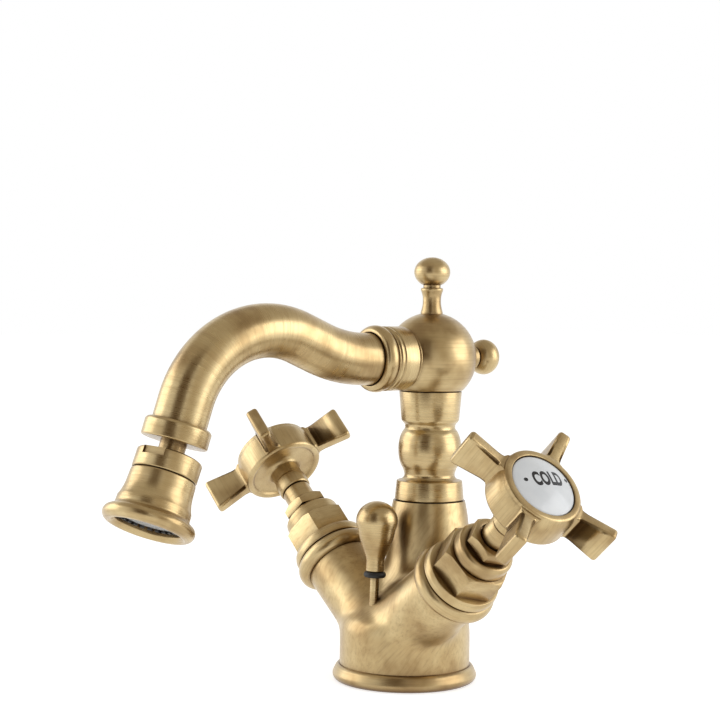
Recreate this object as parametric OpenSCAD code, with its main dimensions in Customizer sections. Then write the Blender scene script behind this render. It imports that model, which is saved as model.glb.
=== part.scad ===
// Two-handle basin mixer: single-hole cast body, turned column, curved spout and ball-jointed jet.
// The origin is the centre of the base's underside, the spout reaches towards -Y,
// the hot handle is on -X and the cold handle on +X.

/* [Base] */
// Radius of the body where it stands on the base ring
body_r = 23; // [21:0.5:26]
// Outer radius of the base ring
ring_r = 25.5; // [24:0.5:30]
// Height of the base ring
ring_h = 6; // [5:0.5:10]
// Thickness of the rubber gasket under the body
gasket_t = 1.5; // [1:0.25:2.5]
// Radius of the spigot that locates the body in the base ring
spigot_r = 20.7; // [18:0.1:20.8]
// Radius of the tapped hose inlets
inlet_r = 4.5; // [3:0.1:5]
// Distance of each hose inlet from the middle
inlet_x = 9; // [8:0.5:11]
// Radius of the tapped hole for the clamping stud
stud_r = 3.4; // [2.5:0.1:4]
// Depth of the tapped holes in the underside
tap_depth = 12; // [8:1:14]

/* [Column] */
// Distance of the column behind the base's centre
column_y = 10.4; // [8:0.2:12]
// Height of the seam between body and column
neck_z = 63.3; // [60:0.5:70]
// Radius of the body's neck at that seam
neck_r = 12.3; // [11.5:0.1:13.5]
// Height of the turned column
column_h = 39.1; // [36:0.5:46]
// Radius of the column under the hub
column_top_r = 11.2; // [10.5:0.1:11.6]
// Radius of the bead halfway up the column
column_bead_r = 11.3; // [10.5:0.1:12]
// Radius of the two grooves beside the bead
column_groove_r = 9; // [8.6:0.1:9.6]
// Radius of the water bore through the column
column_bore_r = 5; // [3:0.25:6]
// Radius of the column's spigot in the neck
pivot_r = 8.6; // [8:0.1:9]
// Depth of that spigot
pivot_h = 15; // [13:0.5:17]
// Radius of the ball-shaped hub
hub_r = 16.2; // [15.5:0.1:18]
// Radius of the hub's front collar
collar_r = 10.4; // [9.5:0.1:10.8]
// Distance of the collar's front face from the column's axis
collar_reach = 13.5; // [12.5:0.5:17]

/* [Finials] */
// Radius of both finial balls
finial_r = 6.4; // [5:0.1:7.5]
// Height of the top finial's stem above the hub
finial_stem = 9.2; // [8:0.2:14]
// Length of the back finial's collar outside the hub
finial_neck = 4.6; // [3:0.2:8]

/* [Spout] */
// Outer radius of the spout tube
tube_r = 9.1; // [8.4:0.1:9.4]
// Wall of the spout tube
tube_wall = 1.2; // [0.8:0.1:1.6]
// Radius of the union nut
nut_r = 11.3; // [11:0.1:12.5]
// Length of the union nut
nut_len = 14.5; // [13:0.5:18]
// Radius of the rising bend behind the crest
rise_r = 53.5; // [50:1:80]
// Angle of the rising bend
rise_angle = 22.5; // [14:0.5:26]
// Length of the straight stretch before the crest
rise_len = 9; // [6:0.2:20]
// Radius of the crest bend
crest_r = 33.5; // [26:0.5:40]
// Forward lean of the outlet from straight down
outlet_lean = 18.5; // [5:0.5:30]
// Length of the straight stretch after the crest
drop_len = 7.4; // [6:0.1:20]
// Radius of the collar at the spout's end
end_collar_r = 11.1; // [10.8:0.1:13]
// Length of that collar
end_collar_h = 6.4; // [5.5:0.1:9]

/* [Jet] */
// Radius of the ball of the ball joint
ball_r = 7.5; // [7:0.1:7.8]
// Radius of the neck that carries the ball
ball_neck_r = 4.4; // [3.8:0.1:4.5]
// Distance from the outlet collar to the ball's centre
ball_drop = 9.5; // [9.4:0.1:12]
// Thickness of the ball's seat and seal
seat_t = 0.85; // [0.6:0.05:0.9]
// Extra forward lean of the jet at rest
jet_lean = 6; // [0:0.5:8]
// Sideways lean of the jet at rest, with its mouth towards +X
jet_side = 6.5; // [-8:0.5:8]
// Radius of the swivel nut
jet_r = 10.9; // [10.4:0.1:12]
// Height of the swivel nut above the ball's centre
jet_up = 5; // [4.8:0.1:5.2]
// Length of the swivel nut
jet_nut_h = 6.9; // [6.5:0.1:8]
// Length of the outlet bell
bell_h = 18.5; // [16:0.5:24]
// Largest radius of the outlet bell
bell_r = 15.4; // [14.5:0.1:17]
// Radius of the bell's mouth
mouth_r = 10.9; // [10:0.1:11.5]

/* [Valves] */
// Height at which the two valve axes cross
valve_z = 10.4; // [8:0.2:12]
// Distance of the valve axes in front of the base's centre
valve_y = 5.5; // [4:0.5:7]
// Rise of the valve axes above level
valve_angle = 40.9; // [36:0.5:46]
// Distance along the axis to the end of the body's arm
arm_len = 40.5; // [38:0.5:46]
// Radius of the arm's end
arm_r = 12.6; // [12:0.1:13.5]
// Largest radius of the ring on the arm's end
arm_ring_r = 14.4; // [13.6:0.1:16]
// Length of that ring
arm_ring_h = 6.5; // [4:0.5:8]
// Radius of the bonnet's flange
flange_r = 13.2; // [12.8:0.1:14]
// Length of the bonnet's flange
flange_h = 4; // [3:0.5:7]
// Width across flats of the bonnet's hexagon
hex_af = 22; // [19:0.5:23]
// Length of the bonnet's hexagon
hex_h = 9.5; // [7:0.5:13]
// Radius of the bonnet's round end
bonnet_r = 10.3; // [9.6:0.1:11]
// Length of the bonnet's round end
bonnet_h = 5.5; // [4:0.5:8]
// Radius of the bonnet's thread in the arm
thread_r = 9; // [8.5:0.1:9.5]
// Length of the bonnet's thread in the arm
thread_h = 12; // [9:0.5:14]
// Width across flats of the gland nut
gland_af = 15.4; // [14.4:0.2:17]
// Height of the gland nut
gland_h = 3.8; // [3.2:0.2:8]
// Radius of the spindle's outer sleeve
sleeve_r = 5.4; // [5:0.1:5.8]
// Radius of the spindle in the bonnet
spindle_r = 3.8; // [3:0.1:4.2]
// Radius of the ceramic discs
disc_r = 7; // [6.2:0.1:7.4]
// Thickness of each ceramic disc
disc_t = 3; // [2:0.25:4]

/* [Handles] */
// Distance along the valve axis to the back of the handle's drum
handle_s = 88.5; // [86:0.5:100]
// Radius of the handle's drum
drum_r = 15.2; // [13:0.1:16]
// Length of the handle's drum
drum_h = 12.5; // [10:0.5:16]
// Radius of the boss behind the drum
boss_r = 6; // [5.6:0.1:7]
// Length of that boss
boss_h = 9.8; // [6:0.2:11]
// Distance from the axis to a fin's tip
fin_r = 28.8; // [24:0.5:34]
// Width of a fin at the drum
fin_root_w = 10; // [7:0.2:12]
// Width of a fin at its tip
fin_tip_w = 14; // [9:0.2:15]
// Thickness of a fin
fin_t = 3.8; // [2:0.1:4.5]
// Number of fins
fin_count = 4; // [3:1:6]
// Turn of the fins from the plane of the two valves
fin_turn = 42; // [0:1:90]
// Radius of the index button
button_r = 11.7; // [10:0.1:12.5]
// Height of the index button
button_h = 3.6; // [3:0.1:5]

/* [Lift rod] */
// Distance of the rod in front of the base's centre where it enters the body
rod_y = 14.2; // [11:0.2:15]
// Height at which the rod enters the body
rod_z = 28.4; // [28:0.2:34]
// Backward lean of the rod
rod_lean = 2; // [0:0.5:4]
// Radius of the rod
rod_r = 1.55; // [1.2:0.05:2]
// Length of bare rod above the body
rod_free = 9.1; // [8.6:0.1:14]
// Largest radius of the knob
knob_r = 7.3; // [6:0.1:9]
// Height of the knob without its ring
knob_h = 24.8; // [22:0.2:32]
// Radius of the knob's neck
knob_neck_r = 3.2; // [2.6:0.1:3.6]
// Thickness of the knob's black ring
knob_ring_t = 2; // [1.5:0.1:3]

/* [Hidden] */

HOT = -1;
COLD = 1;
BRASS = "#b8935a";
DARK = "#1f1b16";
PORCELAIN = "#f2f2ee";
NYLON = "#d9d4c8";
CERAMIC = "#8f8f92";
fit = 0.05;             // radial clearance of a running fit
gap = 0.3;              // clearance between pieces that only pass each other
chamfer = 0.6;          // small edge break on turned pieces
$fn = 64;
hull_fn = 32;

// base
body_bottom = gasket_t;
gasket_r = spigot_r - 1;
gasket_ease = 0.4;
rod_hole_r = 3.6;
foot_h = 16;            // upright part of the body's foot
// the two balls that round the foot off, under the neck and under the rod: middle and radius
foot_balls = [[[0, 2, ring_h + foot_h - 1], 14], [[0, -8, ring_h + foot_h - 3.8], 12]];
neck_root_r = 18.5;     // neck where it leaves the foot
neck_low_r = 15;        // neck at mid height
neck_start = neck_z - 22.3;
mixing_r = 2.4;         // drilled ways from the valves to the column
mixing_drop = 12;       // how far the column's bore runs on below its spigot
arm_root_r = 13.6;      // arms where they meet

// column
spout_z = neck_z + column_h + sqrt(hub_r * hub_r - column_top_r * column_top_r);
ring_top = 7.6;
groove_h = 2.2;
bead_h = 15.5;
taper_r = column_top_r - 0.9;
oring_r = 0.95;
oring_low = 3;
oring_high = 11;
screw_up = pivot_h - 7;
screw_r = 2;
screw_len = 3.4;
screw_point = 0.8;      // how far its point reaches into the spigot's groove
screw_key_r = 1.1;
washer_t = 0.5;
top_thread_r = 8;
top_thread_h = 7;
hub_bore_r = column_bore_r + 0.5;
finial_thread_r = 2.4;
finial_thread_h = 6;
finial_foot_r = 3.95;
finial_waist_r = 3.1;
finial_squash = 0.83;
finial_seat = sqrt(hub_r * hub_r - finial_foot_r * finial_foot_r);
finial_gap = 1.1;       // dark neck between stem and ball
finial_sink = 0.8;      // depth of the seat in the underside of a ball
finial_peg_r = 1.5;
finial_peg_h = 3;

// union and spout
nut_face = collar_reach;                      // distance in front of the column's axis
seal_t = 1.6;
tube_flange_t = 1.8;
tube_flange_r = nut_r - 2;
collar_thread_r = collar_r - 1;
nut_overlap = 4;
p0 = nut_face - column_y + nut_len + 1.5;     // start of the rising bend, measured towards -Y
rise_p = p0 + rise_r * sin(rise_angle);
rise_z = spout_z + rise_r * (1 - cos(rise_angle));
crest_start_p = rise_p + rise_len * cos(rise_angle);
crest_start_z = rise_z + rise_len * sin(rise_angle);
crest_p = crest_start_p + crest_r * sin(rise_angle);
crest_z = crest_start_z - crest_r * cos(rise_angle);
drop_p = crest_p + crest_r * cos(outlet_lean);
drop_z = crest_z + crest_r * sin(outlet_lean);
end_p = drop_p + drop_len * sin(outlet_lean);
end_z = drop_z - drop_len * cos(outlet_lean);
tube_in_collar = 3;
tube_sides = 24;
rise_n = 4;
crest_n = 15;
ball_p = end_p + (end_collar_h + ball_drop) * sin(outlet_lean);
ball_z = end_z - (end_collar_h + ball_drop) * cos(outlet_lean);
stud_thread_r = 6.6;
stud_bore_r = 2.5;

// jet
seat_in = ball_r + fit;
seat_out = seat_in + seat_t;
cavity_r = seat_out + fit;
seat_top = 0.4 * seat_out;
seat_gap = 1;
wrench_flat = [3, 8, 3.8];  // twice the cut's depth, its width and its height
wrench_turn = -65;
jet_seam = jet_up - jet_nut_h;
bell_spigot_r = jet_r - 1.1;
bell_spigot_h = 1.2;
mouth_z = jet_seam - bell_h;
bell_bead = [2.6, 2.3];       // half-width and half-height of the bead round the mouth
insert_h = 6;
insert_top = mouth_z + 4 + insert_h;
insert_r = mouth_r - fit;
insert_rim = 1.6;
insert_hole_r = 0.9;
insert_holes = 12;
screen_t = 0.8;
gasket_h = 1.2;
gasket_hole_r = 6.5;

// valves, measured along the valve axis from the crossing point
flange_s = arm_len + arm_ring_h;
hex_s = flange_s + flange_h;
round_s = hex_s + hex_h;
bonnet_end = round_s + bonnet_h;
gland_s = bonnet_end + 1.2;
gland_end = gland_s + gland_h;
bonnet_foot = arm_len - thread_h;
bonnet_groove_s = arm_len - 4.2;
bonnet_groove_w = 2;
groove_depth = 1;
spindle_groove_w = 1.8;
spindle_grooves = [round_s - 4, round_s - 9];
hex_turn = 15;
gland_thread_r = 6;
gland_thread_h = 6;
sleeve_end = handle_s - boss_h - gap;
seal_h = 2;
seat_s = bonnet_foot - seal_h;
fixed_s = bonnet_foot;
turning_s = fixed_s + disc_t;
cage_r = disc_r + fit;
cage_end = turning_s + disc_t + 2.4;
arm_bore_r = thread_r;
waterway_r = 5;
waterway_s = 14;
recess_h = button_h - 0.8;
screw_head_r = 4.2;
handle_screw_r = 2;
broach_r = 3;
broach_end = handle_s + 4;
drum_back = 1.8;        // roundings of the drum, behind and towards its front rim
drum_front = (drum_r - button_r) / 2;

// lift rod, measured up the rod from where it enters the body
rod_tail = 21;
bush_r = 3;
bush_h = 8;
bush_top = -5;
knob_ring_r = knob_neck_r + 0.7;
knob_foot = rod_free + knob_ring_t;
knob_ball_z = knob_h - knob_r * 0.94;
rod_grip = 8;

// ---- placing ----

// Local +Z runs out along a valve's axis, from the point where the two axes cross.
module along_valve(side) {
    translate([0, -valve_y, valve_z])
        rotate([0, side * (90 - valve_angle), 0])
            children();
}

// Local +Z runs up the column from the seam on the neck.
module on_column(up = 0) {
    translate([0, column_y, neck_z + up])
        children();
}

// Local +Z points from the hub's centre towards the spout.
module towards_spout() {
    translate([0, column_y, spout_z])
        rotate([90, 0, 0])
            children();
}

// Local +Z runs up an axis through the ball's centre, leaning back and to -X.
module at_ball(lean, side = 0) {
    translate([0, -ball_p, ball_z])
        rotate([-lean, 0, 0])
            rotate([0, -side, 0])
                children();
}

// Local +Z runs up the jet's own axis at rest.
module on_jet() {
    at_ball(outlet_lean + jet_lean, jet_side)
        children();
}

// Local +Z runs up the lift rod, from where it enters the body.
module on_rod() {
    translate([0, -rod_y, rod_z])
        rotate([-rod_lean, 0, 0])
            children();
}

// ---- shared shapes ----

// A disc with both edges broken.
module turned(r, h, c = chamfer) {
    rotate_extrude()
        polygon([[0, 0], [r - c, 0], [r, c], [r, h - c], [r - c, h], [0, h]]);
}

// A round rubber ring.
module oring(mid_r, thick_r) {
    rotate_extrude()
        translate([mid_r, 0])
            circle(r = thick_r, $fn = 24);
}

// Points of an ellipse's right-hand side, from angle a to angle b.
function arc_points(cx, cy, rx, ry, a, b, n) =
    [for (i = [0:n]) [cx + rx * cos(a + (b - a) * i / n), cy + ry * sin(a + (b - a) * i / n)]];

// ---- base and body ----

module base_gasket() {
    color(DARK)
        difference() {
            cylinder(r = gasket_r, h = gasket_t);
            for (side = [HOT, COLD])
                translate([side * inlet_x, 0, -1])
                    cylinder(r = inlet_r + gasket_ease, h = gasket_t + 2);
            translate([0, column_y, -1])
                cylinder(r = stud_r + gasket_ease, h = gasket_t + 2);
            translate([0, -rod_y - rod_z * tan(rod_lean), -1])
                cylinder(r = rod_hole_r, h = gasket_t + 2);
        }
}

module base_ring() {
    bead = ring_h * 0.42;
    color(BRASS)
        rotate_extrude()
            polygon(concat(
                [[spigot_r + fit, 0], [ring_r - 1.2, 0]],
                arc_points(ring_r - 1.2, bead * 0.62, 1.2, bead * 0.62, -90, 0, 5),
                arc_points(body_r, ring_h * 0.5, ring_r - body_r, ring_h * 0.5, 10, 78, 7),
                [[body_r + 0.2, ring_h], [spigot_r + fit, ring_h]]));
}

// The solid casting, before it is drilled.
module casting() {
    translate([0, 0, body_bottom])
        cylinder(r = spigot_r, h = ring_h);
    // round foot that draws in towards the neck
    hull() {
        translate([0, 0, ring_h])
            cylinder(r = body_r, h = foot_h, $fn = 64);
        for (ball = foot_balls)
            translate(ball[0])
                sphere(r = ball[1], $fn = hull_fn);
    }
    // neck, leaning back to the column
    hull() {
        translate([0, 3, ring_h + foot_h - 1])
            cylinder(r = neck_root_r, h = 2, $fn = 48);
        translate([0, column_y, neck_start])
            cylinder(r = neck_low_r, h = 1, $fn = 48);
    }
    translate([0, column_y, neck_start])
        rotate_extrude()
            polygon(concat([[0, -2], [neck_low_r, -2]],
                arc_points(neck_r, 0, neck_low_r - neck_r, neck_z - neck_start, 0, 90, 8),
                [[0, neck_z - neck_start]]));
    // two arms, tapering to the valves
    for (side = [HOT, COLD])
        hull() {
            translate([0, -valve_y + 0.5, body_bottom + arm_root_r + 0.1])
                sphere(r = arm_root_r, $fn = hull_fn);
            along_valve(side)
                translate([0, 0, arm_len - 3])
                    cylinder(r = arm_r, h = 3, $fn = 48);
        }
}

module body() {
    color(BRASS)
        difference() {
            casting();
            for (side = [HOT, COLD]) {
                along_valve(side) {
                    translate([0, 0, seat_s])
                        cylinder(r = arm_bore_r, h = arm_len);
                    translate([0, 0, waterway_s])
                        cylinder(r = waterway_r, h = arm_len);
                }
                translate([side * inlet_x, 0, 0])
                    cylinder(r = inlet_r, h = body_bottom + tap_depth);
                translate([side * inlet_x, 0, 0])
                    cylinder(r = inlet_r - 1, h = valve_z + 10);
                mixing_way(side);
            }
            on_column(-pivot_h)
                cylinder(r = pivot_r + fit, h = pivot_h + 1);
            on_column(-pivot_h - mixing_drop)
                cylinder(r = column_bore_r, h = mixing_drop + 1);
            on_column(-screw_up)
                rotate([-90, 0, 0])
                    cylinder(r = screw_r, h = neck_r + 8);
            translate([0, column_y, 0])
                cylinder(r = stud_r, h = body_bottom + tap_depth);
            on_rod()
                translate([0, 0, -rod_z * 2])
                    cylinder(r = rod_r + fit, h = rod_z * 4);
            on_rod()
                translate([0, 0, -rod_z * 2])
                    cylinder(r = bush_r, h = rod_z * 2 + bush_top);
            on_rod()
                translate([0, 0, -rod_z * 2])
                    cylinder(r = rod_hole_r, h = rod_z * 2 + bush_top - bush_h);
        }
}

// Drilled way from a valve's chamber to the column's bore.
module mixing_way(side) {
    from = [side * (seat_s - 2) * cos(valve_angle), -valve_y, valve_z + (seat_s - 2) * sin(valve_angle)];
    to = [0, column_y, neck_z - pivot_h - mixing_drop / 2];
    run = to - from;
    flat = sqrt(run[0] * run[0] + run[1] * run[1]);
    translate(from)
        rotate([0, atan2(flat, run[2]), atan2(run[1], run[0])])
            cylinder(r = mixing_r, h = norm(run));
}

module lift_rod_bush() {
    color(NYLON)
        on_rod()
            translate([0, 0, bush_top - bush_h])
                difference() {
                    cylinder(r = bush_r, h = bush_h);
                    translate([0, 0, -1])
                        cylinder(r = rod_r + fit, h = bush_h + 2);
                }
}

// ---- column and hub ----

// Turned outline of the column, from the neck's seam to the hub.
function column_outline() = concat(
    [[neck_r + 0.1, 0], [column_top_r + 0.5, ring_top - 1]],
    arc_points(column_top_r - 0.5, ring_top - 1, 1, 1, 0, 90, 4),
    [[column_groove_r + 0.2, ring_top + 0.4], [column_groove_r, ring_top + 1.4],
        [column_groove_r, ring_top + groove_h + 0.6]],
    arc_points(column_groove_r - 1, ring_top + groove_h + 0.8 + bead_h / 2,
        column_bead_r - column_groove_r + 1, bead_h / 2, -62, 62, 14),
    [[column_groove_r, ring_top + bead_h + groove_h + 1],
        [column_groove_r, ring_top + bead_h + groove_h + 2],
        [taper_r, ring_top + bead_h + groove_h + 3.2], [column_top_r, column_h]]);

module column() {
    color(BRASS)
        difference() {
            union() {
                on_column()
                    rotate_extrude()
                        polygon(concat([[0, 0]], column_outline(), [[0, column_h]]));
                on_column(-pivot_h + washer_t)
                    cylinder(r = pivot_r, h = pivot_h);
                on_column(column_h - 1)
                    cylinder(r = top_thread_r, h = top_thread_h + 1);
            }
            on_column(-pivot_h - 1)
                cylinder(r = column_bore_r, h = pivot_h + column_h + top_thread_h + 2);
            for (up = [oring_low, oring_high])
                on_column(-pivot_h + up - oring_r - 0.1)
                    difference() {
                        cylinder(r = pivot_r + 1, h = 2 * oring_r + 0.2);
                        translate([0, 0, -1])
                            cylinder(r = pivot_r - 2 * oring_r, h = 2 * oring_r + 3);
                    }
            // groove for the point of the grub screw
            on_column(-screw_up - screw_r)
                difference() {
                    cylinder(r = pivot_r + 1, h = 2 * screw_r);
                    translate([0, 0, -1])
                        cylinder(r = pivot_r - screw_point - 0.4, h = 2 * screw_r + 2);
                }
        }
}

module column_orings() {
    color(DARK)
        for (up = [oring_low, oring_high])
            on_column(-pivot_h + up)
                oring(pivot_r - oring_r, oring_r);
}

module column_washer() {
    color(NYLON)
        on_column(-pivot_h)
            difference() {
                cylinder(r = pivot_r, h = washer_t);
                translate([0, 0, -1])
                    cylinder(r = column_bore_r + 0.5, h = 3);
            }
}

module column_grub_screw() {
    color(DARK)
        on_column(-screw_up)
            rotate([-90, 0, 0])
                difference() {
                    union() {
                        translate([0, 0, pivot_r + fit])
                            cylinder(r = screw_r, h = screw_len);
                        translate([0, 0, pivot_r - screw_point])
                            cylinder(r = screw_r - 0.6, h = screw_point + fit + 0.5);
                    }
                    translate([0, 0, pivot_r + screw_len / 2])
                        cylinder(r = screw_key_r, h = screw_len, $fn = 6);
                }
}

module hub() {
    color(BRASS)
        difference() {
            union() {
                intersection() {
                    translate([0, column_y, spout_z])
                        sphere(r = hub_r, $fn = 96);
                    on_column(column_h)
                        cylinder(r = hub_r + 1, h = 3 * hub_r);
                }
                towards_spout()
                    cylinder(r = collar_r, h = collar_reach);
                towards_spout()
                    cylinder(r = collar_thread_r, h = collar_reach + nut_overlap);
            }
            on_column(column_h - 1)
                cylinder(r = top_thread_r, h = top_thread_h + 1);
            on_column(column_h)
                cylinder(r = hub_bore_r, h = spout_z - neck_z - column_h);
            towards_spout()
                cylinder(r = hub_bore_r, h = collar_reach + nut_overlap + 1);
            translate([0, column_y, spout_z + hub_r - finial_thread_h])
                cylinder(r = finial_thread_r, h = finial_thread_h + 1);
            translate([0, column_y + hub_r - finial_thread_h, spout_z])
                rotate([-90, 0, 0])
                    cylinder(r = finial_thread_r, h = finial_thread_h + 1);
            // flat seats under the finials
            translate([0, column_y, spout_z + finial_seat])
                cylinder(r = finial_foot_r + 1, h = 2);
            translate([0, column_y + finial_seat, spout_z])
                rotate([-90, 0, 0])
                    cylinder(r = finial_foot_r + 1, h = 2);
        }
}

module finial_ball(r) {
    rotate_extrude()
        polygon(concat(arc_points(0, r * finial_squash, r, r * finial_squash, -90, 90, 20)));
}

module top_finial_stem() {
    thread_end = 1.5 - finial_thread_h;
    neck_end = finial_stem + finial_gap;
    color(BRASS)
        translate([0, column_y, spout_z + finial_seat])
            rotate_extrude()
                polygon([[0, thread_end], [finial_thread_r, thread_end], [finial_thread_r, 0],
                    [finial_foot_r, 0], [finial_foot_r, 0.8], [finial_waist_r + 0.3, 2.6],
                    [finial_waist_r, finial_stem * 0.5], [finial_waist_r + 0.3, finial_stem * 0.75],
                    [finial_foot_r, finial_stem - 1], [finial_foot_r, finial_stem - 0.3],
                    [finial_foot_r - 0.3, finial_stem], [finial_waist_r, finial_stem],
                    [finial_waist_r, neck_end], [finial_peg_r, neck_end],
                    [finial_peg_r, neck_end + finial_peg_h], [0, neck_end + finial_peg_h]]);
}

module top_finial_ball() {
    color(BRASS)
        translate([0, column_y, spout_z + finial_seat + finial_stem + finial_gap - finial_sink])
            difference() {
                finial_ball(finial_r);
                translate([0, 0, -1])
                    cylinder(r = finial_waist_r + gap, h = finial_sink + 1);
                cylinder(r = finial_peg_r, h = finial_sink + finial_peg_h + 0.2);
            }
}

module back_finial() {
    color(BRASS)
        translate([0, column_y + finial_seat, spout_z])
            rotate([-90, 0, 0]) {
                rotate_extrude()
                    polygon([[0, 1.5 - finial_thread_h], [finial_thread_r, 1.5 - finial_thread_h],
                        [finial_thread_r, 0], [finial_foot_r, 0], [finial_foot_r + 0.3, 0.6],
                        [finial_foot_r + 0.3, finial_neck - 0.6], [finial_foot_r, finial_neck],
                        [0, finial_neck]]);
                translate([0, 0, finial_neck - finial_sink])
                    finial_ball(finial_r);
            }
}

// ---- union and spout ----

module union_nut() {
    lip = 5.5;
    color(BRASS)
        towards_spout()
            translate([0, 0, nut_face])
                difference() {
                    rotate_extrude()
                        polygon(concat([[0, 0], [nut_r - 0.6, 0], [nut_r, 0.5], [nut_r, nut_len - lip - 1.2],
                                [nut_r - 0.5, nut_len - lip - 0.6]],
                            arc_points(nut_r - 1.6, nut_len - lip / 2, 2, lip / 2, -75, 90, 9),
                            [[0, nut_len]]));
                    translate([0, 0, -1])
                        cylinder(r = collar_thread_r, h = 1 + nut_overlap);
                    cylinder(r = tube_flange_r, h = nut_overlap + seal_t + tube_flange_t);
                    cylinder(r = tube_r, h = nut_len + 1);
                }
}

module spout_seal() {
    color(DARK)
        towards_spout()
            translate([0, 0, nut_face + nut_overlap])
                difference() {
                    cylinder(r = tube_flange_r, h = seal_t);
                    translate([0, 0, -1])
                        cylinder(r = hub_bore_r, h = seal_t + 2);
                }
}

// Stations down the spout's centre line: distance towards -Y, height and heading above level.
function spout_stations() = concat(
    [for (i = [0:rise_n]) let (a = rise_angle * i / rise_n)
        [p0 + rise_r * sin(a), spout_z + rise_r * (1 - cos(a)), a]],
    [for (i = [0:crest_n]) let (a = rise_angle - (90 + rise_angle - outlet_lean) * i / crest_n)
        [crest_p - crest_r * sin(a), crest_z + crest_r * cos(a), a]],
    [[end_p + tube_in_collar * sin(outlet_lean), end_z - tube_in_collar * cos(outlet_lean),
        outlet_lean - 90]]);

// One ring of points round a station.
function tube_ring(station, r) =
    [for (i = [0:tube_sides - 1]) let (t = 360 * i / tube_sides)
        [r * sin(t), -station[0] + r * cos(t) * sin(station[2]), station[1] + r * cos(t) * cos(station[2])]];

// Quads between ring a and ring b, which both hold tube_sides points.
function ring_faces(a, b) =
    [for (i = [0:tube_sides - 1]) let (j = (i + 1) % tube_sides)
        [a * tube_sides + i, a * tube_sides + j, b * tube_sides + j, b * tube_sides + i]];

module spout_tube() {
    start = nut_face - column_y + nut_overlap + seal_t;
    head = [start, spout_z, 0];
    flange_end = [start + tube_flange_t, spout_z, 0];
    outer = concat([tube_ring(head, tube_flange_r), tube_ring(flange_end, tube_flange_r)],
        [tube_ring(flange_end, tube_r)], [for (s = spout_stations()) tube_ring(s, tube_r)]);
    inner = concat([tube_ring(head, tube_r - tube_wall)],
        [for (s = spout_stations()) tube_ring(s, tube_r - tube_wall)]);
    rings = concat(outer, inner);
    out_n = len(outer);
    all_n = len(rings);
    color(BRASS)
        polyhedron(points = [for (ring = rings, point = ring) point],
            faces = concat(
                [for (k = [0:out_n - 2], f = ring_faces(k, k + 1)) f],
                [for (k = [out_n:all_n - 2], f = ring_faces(k + 1, k)) f],
                ring_faces(out_n, 0),
                ring_faces(out_n - 1, all_n - 1)));
}

module outlet_collar() {
    color(BRASS)
        at_ball(outlet_lean)
            translate([0, 0, ball_drop])
                difference() {
                    rotate_extrude()
                        polygon([[0, 0], [end_collar_r - 0.8, 0], [end_collar_r, 0.8],
                            [end_collar_r, end_collar_h - 1.2], [end_collar_r - 1.2, end_collar_h],
                            [0, end_collar_h]]);
                    translate([0, 0, end_collar_h - tube_in_collar])
                        cylinder(r = tube_r, h = tube_in_collar + 1);
                    translate([0, 0, -1])
                        cylinder(r = stud_thread_r, h = end_collar_h);
                }
}

// ---- ball joint and jet ----

module ball_stud() {
    color(BRASS)
        at_ball(outlet_lean)
            difference() {
                union() {
                    sphere(r = ball_r, $fn = 96);
                    cylinder(r = ball_neck_r, h = ball_drop + 0.5);
                    translate([0, 0, ball_drop])
                        cylinder(r = stud_thread_r, h = end_collar_h - tube_in_collar);
                }
                translate([0, 0, -ball_r - 1])
                    cylinder(r = stud_bore_r, h = ball_r + ball_drop + end_collar_h + 2);
            }
}

// A slice of a spherical shell between two heights.
module shell_slice(low, high) {
    difference() {
        intersection() {
            sphere(r = seat_out, $fn = 96);
            translate([0, 0, low])
                cylinder(r = seat_out + 1, h = high - low);
        }
        sphere(r = seat_in, $fn = 96);
    }
}

module ball_seat() {
    color(NYLON)
        at_ball(outlet_lean + jet_lean)
            shell_slice(seat_gap, seat_top);
}

module ball_seal() {
    color(DARK)
        on_jet()
            shell_slice(-seat_top, -seat_gap);
}

module swivel_nut() {
    color(BRASS)
        on_jet()
            difference() {
                translate([0, 0, jet_seam])
                    rotate_extrude()
                        polygon([[0, 0], [jet_r - 0.2, 0], [jet_r, 0.3], [jet_r, jet_nut_h - 0.8],
                            [jet_r - 0.8, jet_nut_h], [0, jet_nut_h]]);
                sphere(r = cavity_r, $fn = 96);
                translate([0, 0, jet_seam - 1])
                    cylinder(r = bell_spigot_r, h = bell_spigot_h + 1);
                // two wrench flats
                for (turn = [0, 180])
                    rotate([0, 0, wrench_turn + turn])
                        translate([jet_r - wrench_flat[0] / 2, -wrench_flat[1] / 2,
                                jet_up - wrench_flat[2] + 1])
                            cube(wrench_flat + [2, 0, 0]);
            }
}

// Outline of the bell, from its mouth up to the swivel nut.
function bell_outline() =
    let (waist = bell_h - 2.8, cove = [bell_r - jet_r - 0.5, waist - 2 * bell_bead[1] - 1.2])
    concat(
        [[bell_r - bell_bead[0], 0]],
        arc_points(bell_r - bell_bead[0], bell_bead[1], bell_bead[0], bell_bead[1], -90, 20, 8),
        [[bell_r - 1.5, 2 * bell_bead[1] - 0.2], [bell_r - 2.4, 2 * bell_bead[1] + 0.9],
            [bell_r - 2.9, 2 * bell_bead[1] + 1.8]],
        arc_points(jet_r + 0.2 + cove[0], waist, cove[0], cove[1], 228, 180, 6),
        [[jet_r, bell_h - 0.3], [jet_r - 0.2, bell_h]]);

module outlet_bell() {
    color(BRASS)
        on_jet()
            difference() {
                union() {
                    translate([0, 0, mouth_z])
                        rotate_extrude()
                            polygon(concat([[0, 0]], bell_outline(), [[0, bell_h]]));
                    translate([0, 0, jet_seam - 1])
                        cylinder(r = bell_spigot_r, h = bell_spigot_h + 1);
                }
                sphere(r = cavity_r, $fn = 96);
                translate([0, 0, insert_top])
                    cylinder(r = 6, h = 20);
                translate([0, 0, mouth_z - 1])
                    cylinder(r = mouth_r, h = insert_top - mouth_z + 1 + gasket_h);
                translate([0, 0, mouth_z - 1])
                    cylinder(r1 = mouth_r + 2.4, r2 = mouth_r, h = 2.6);
            }
}

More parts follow.
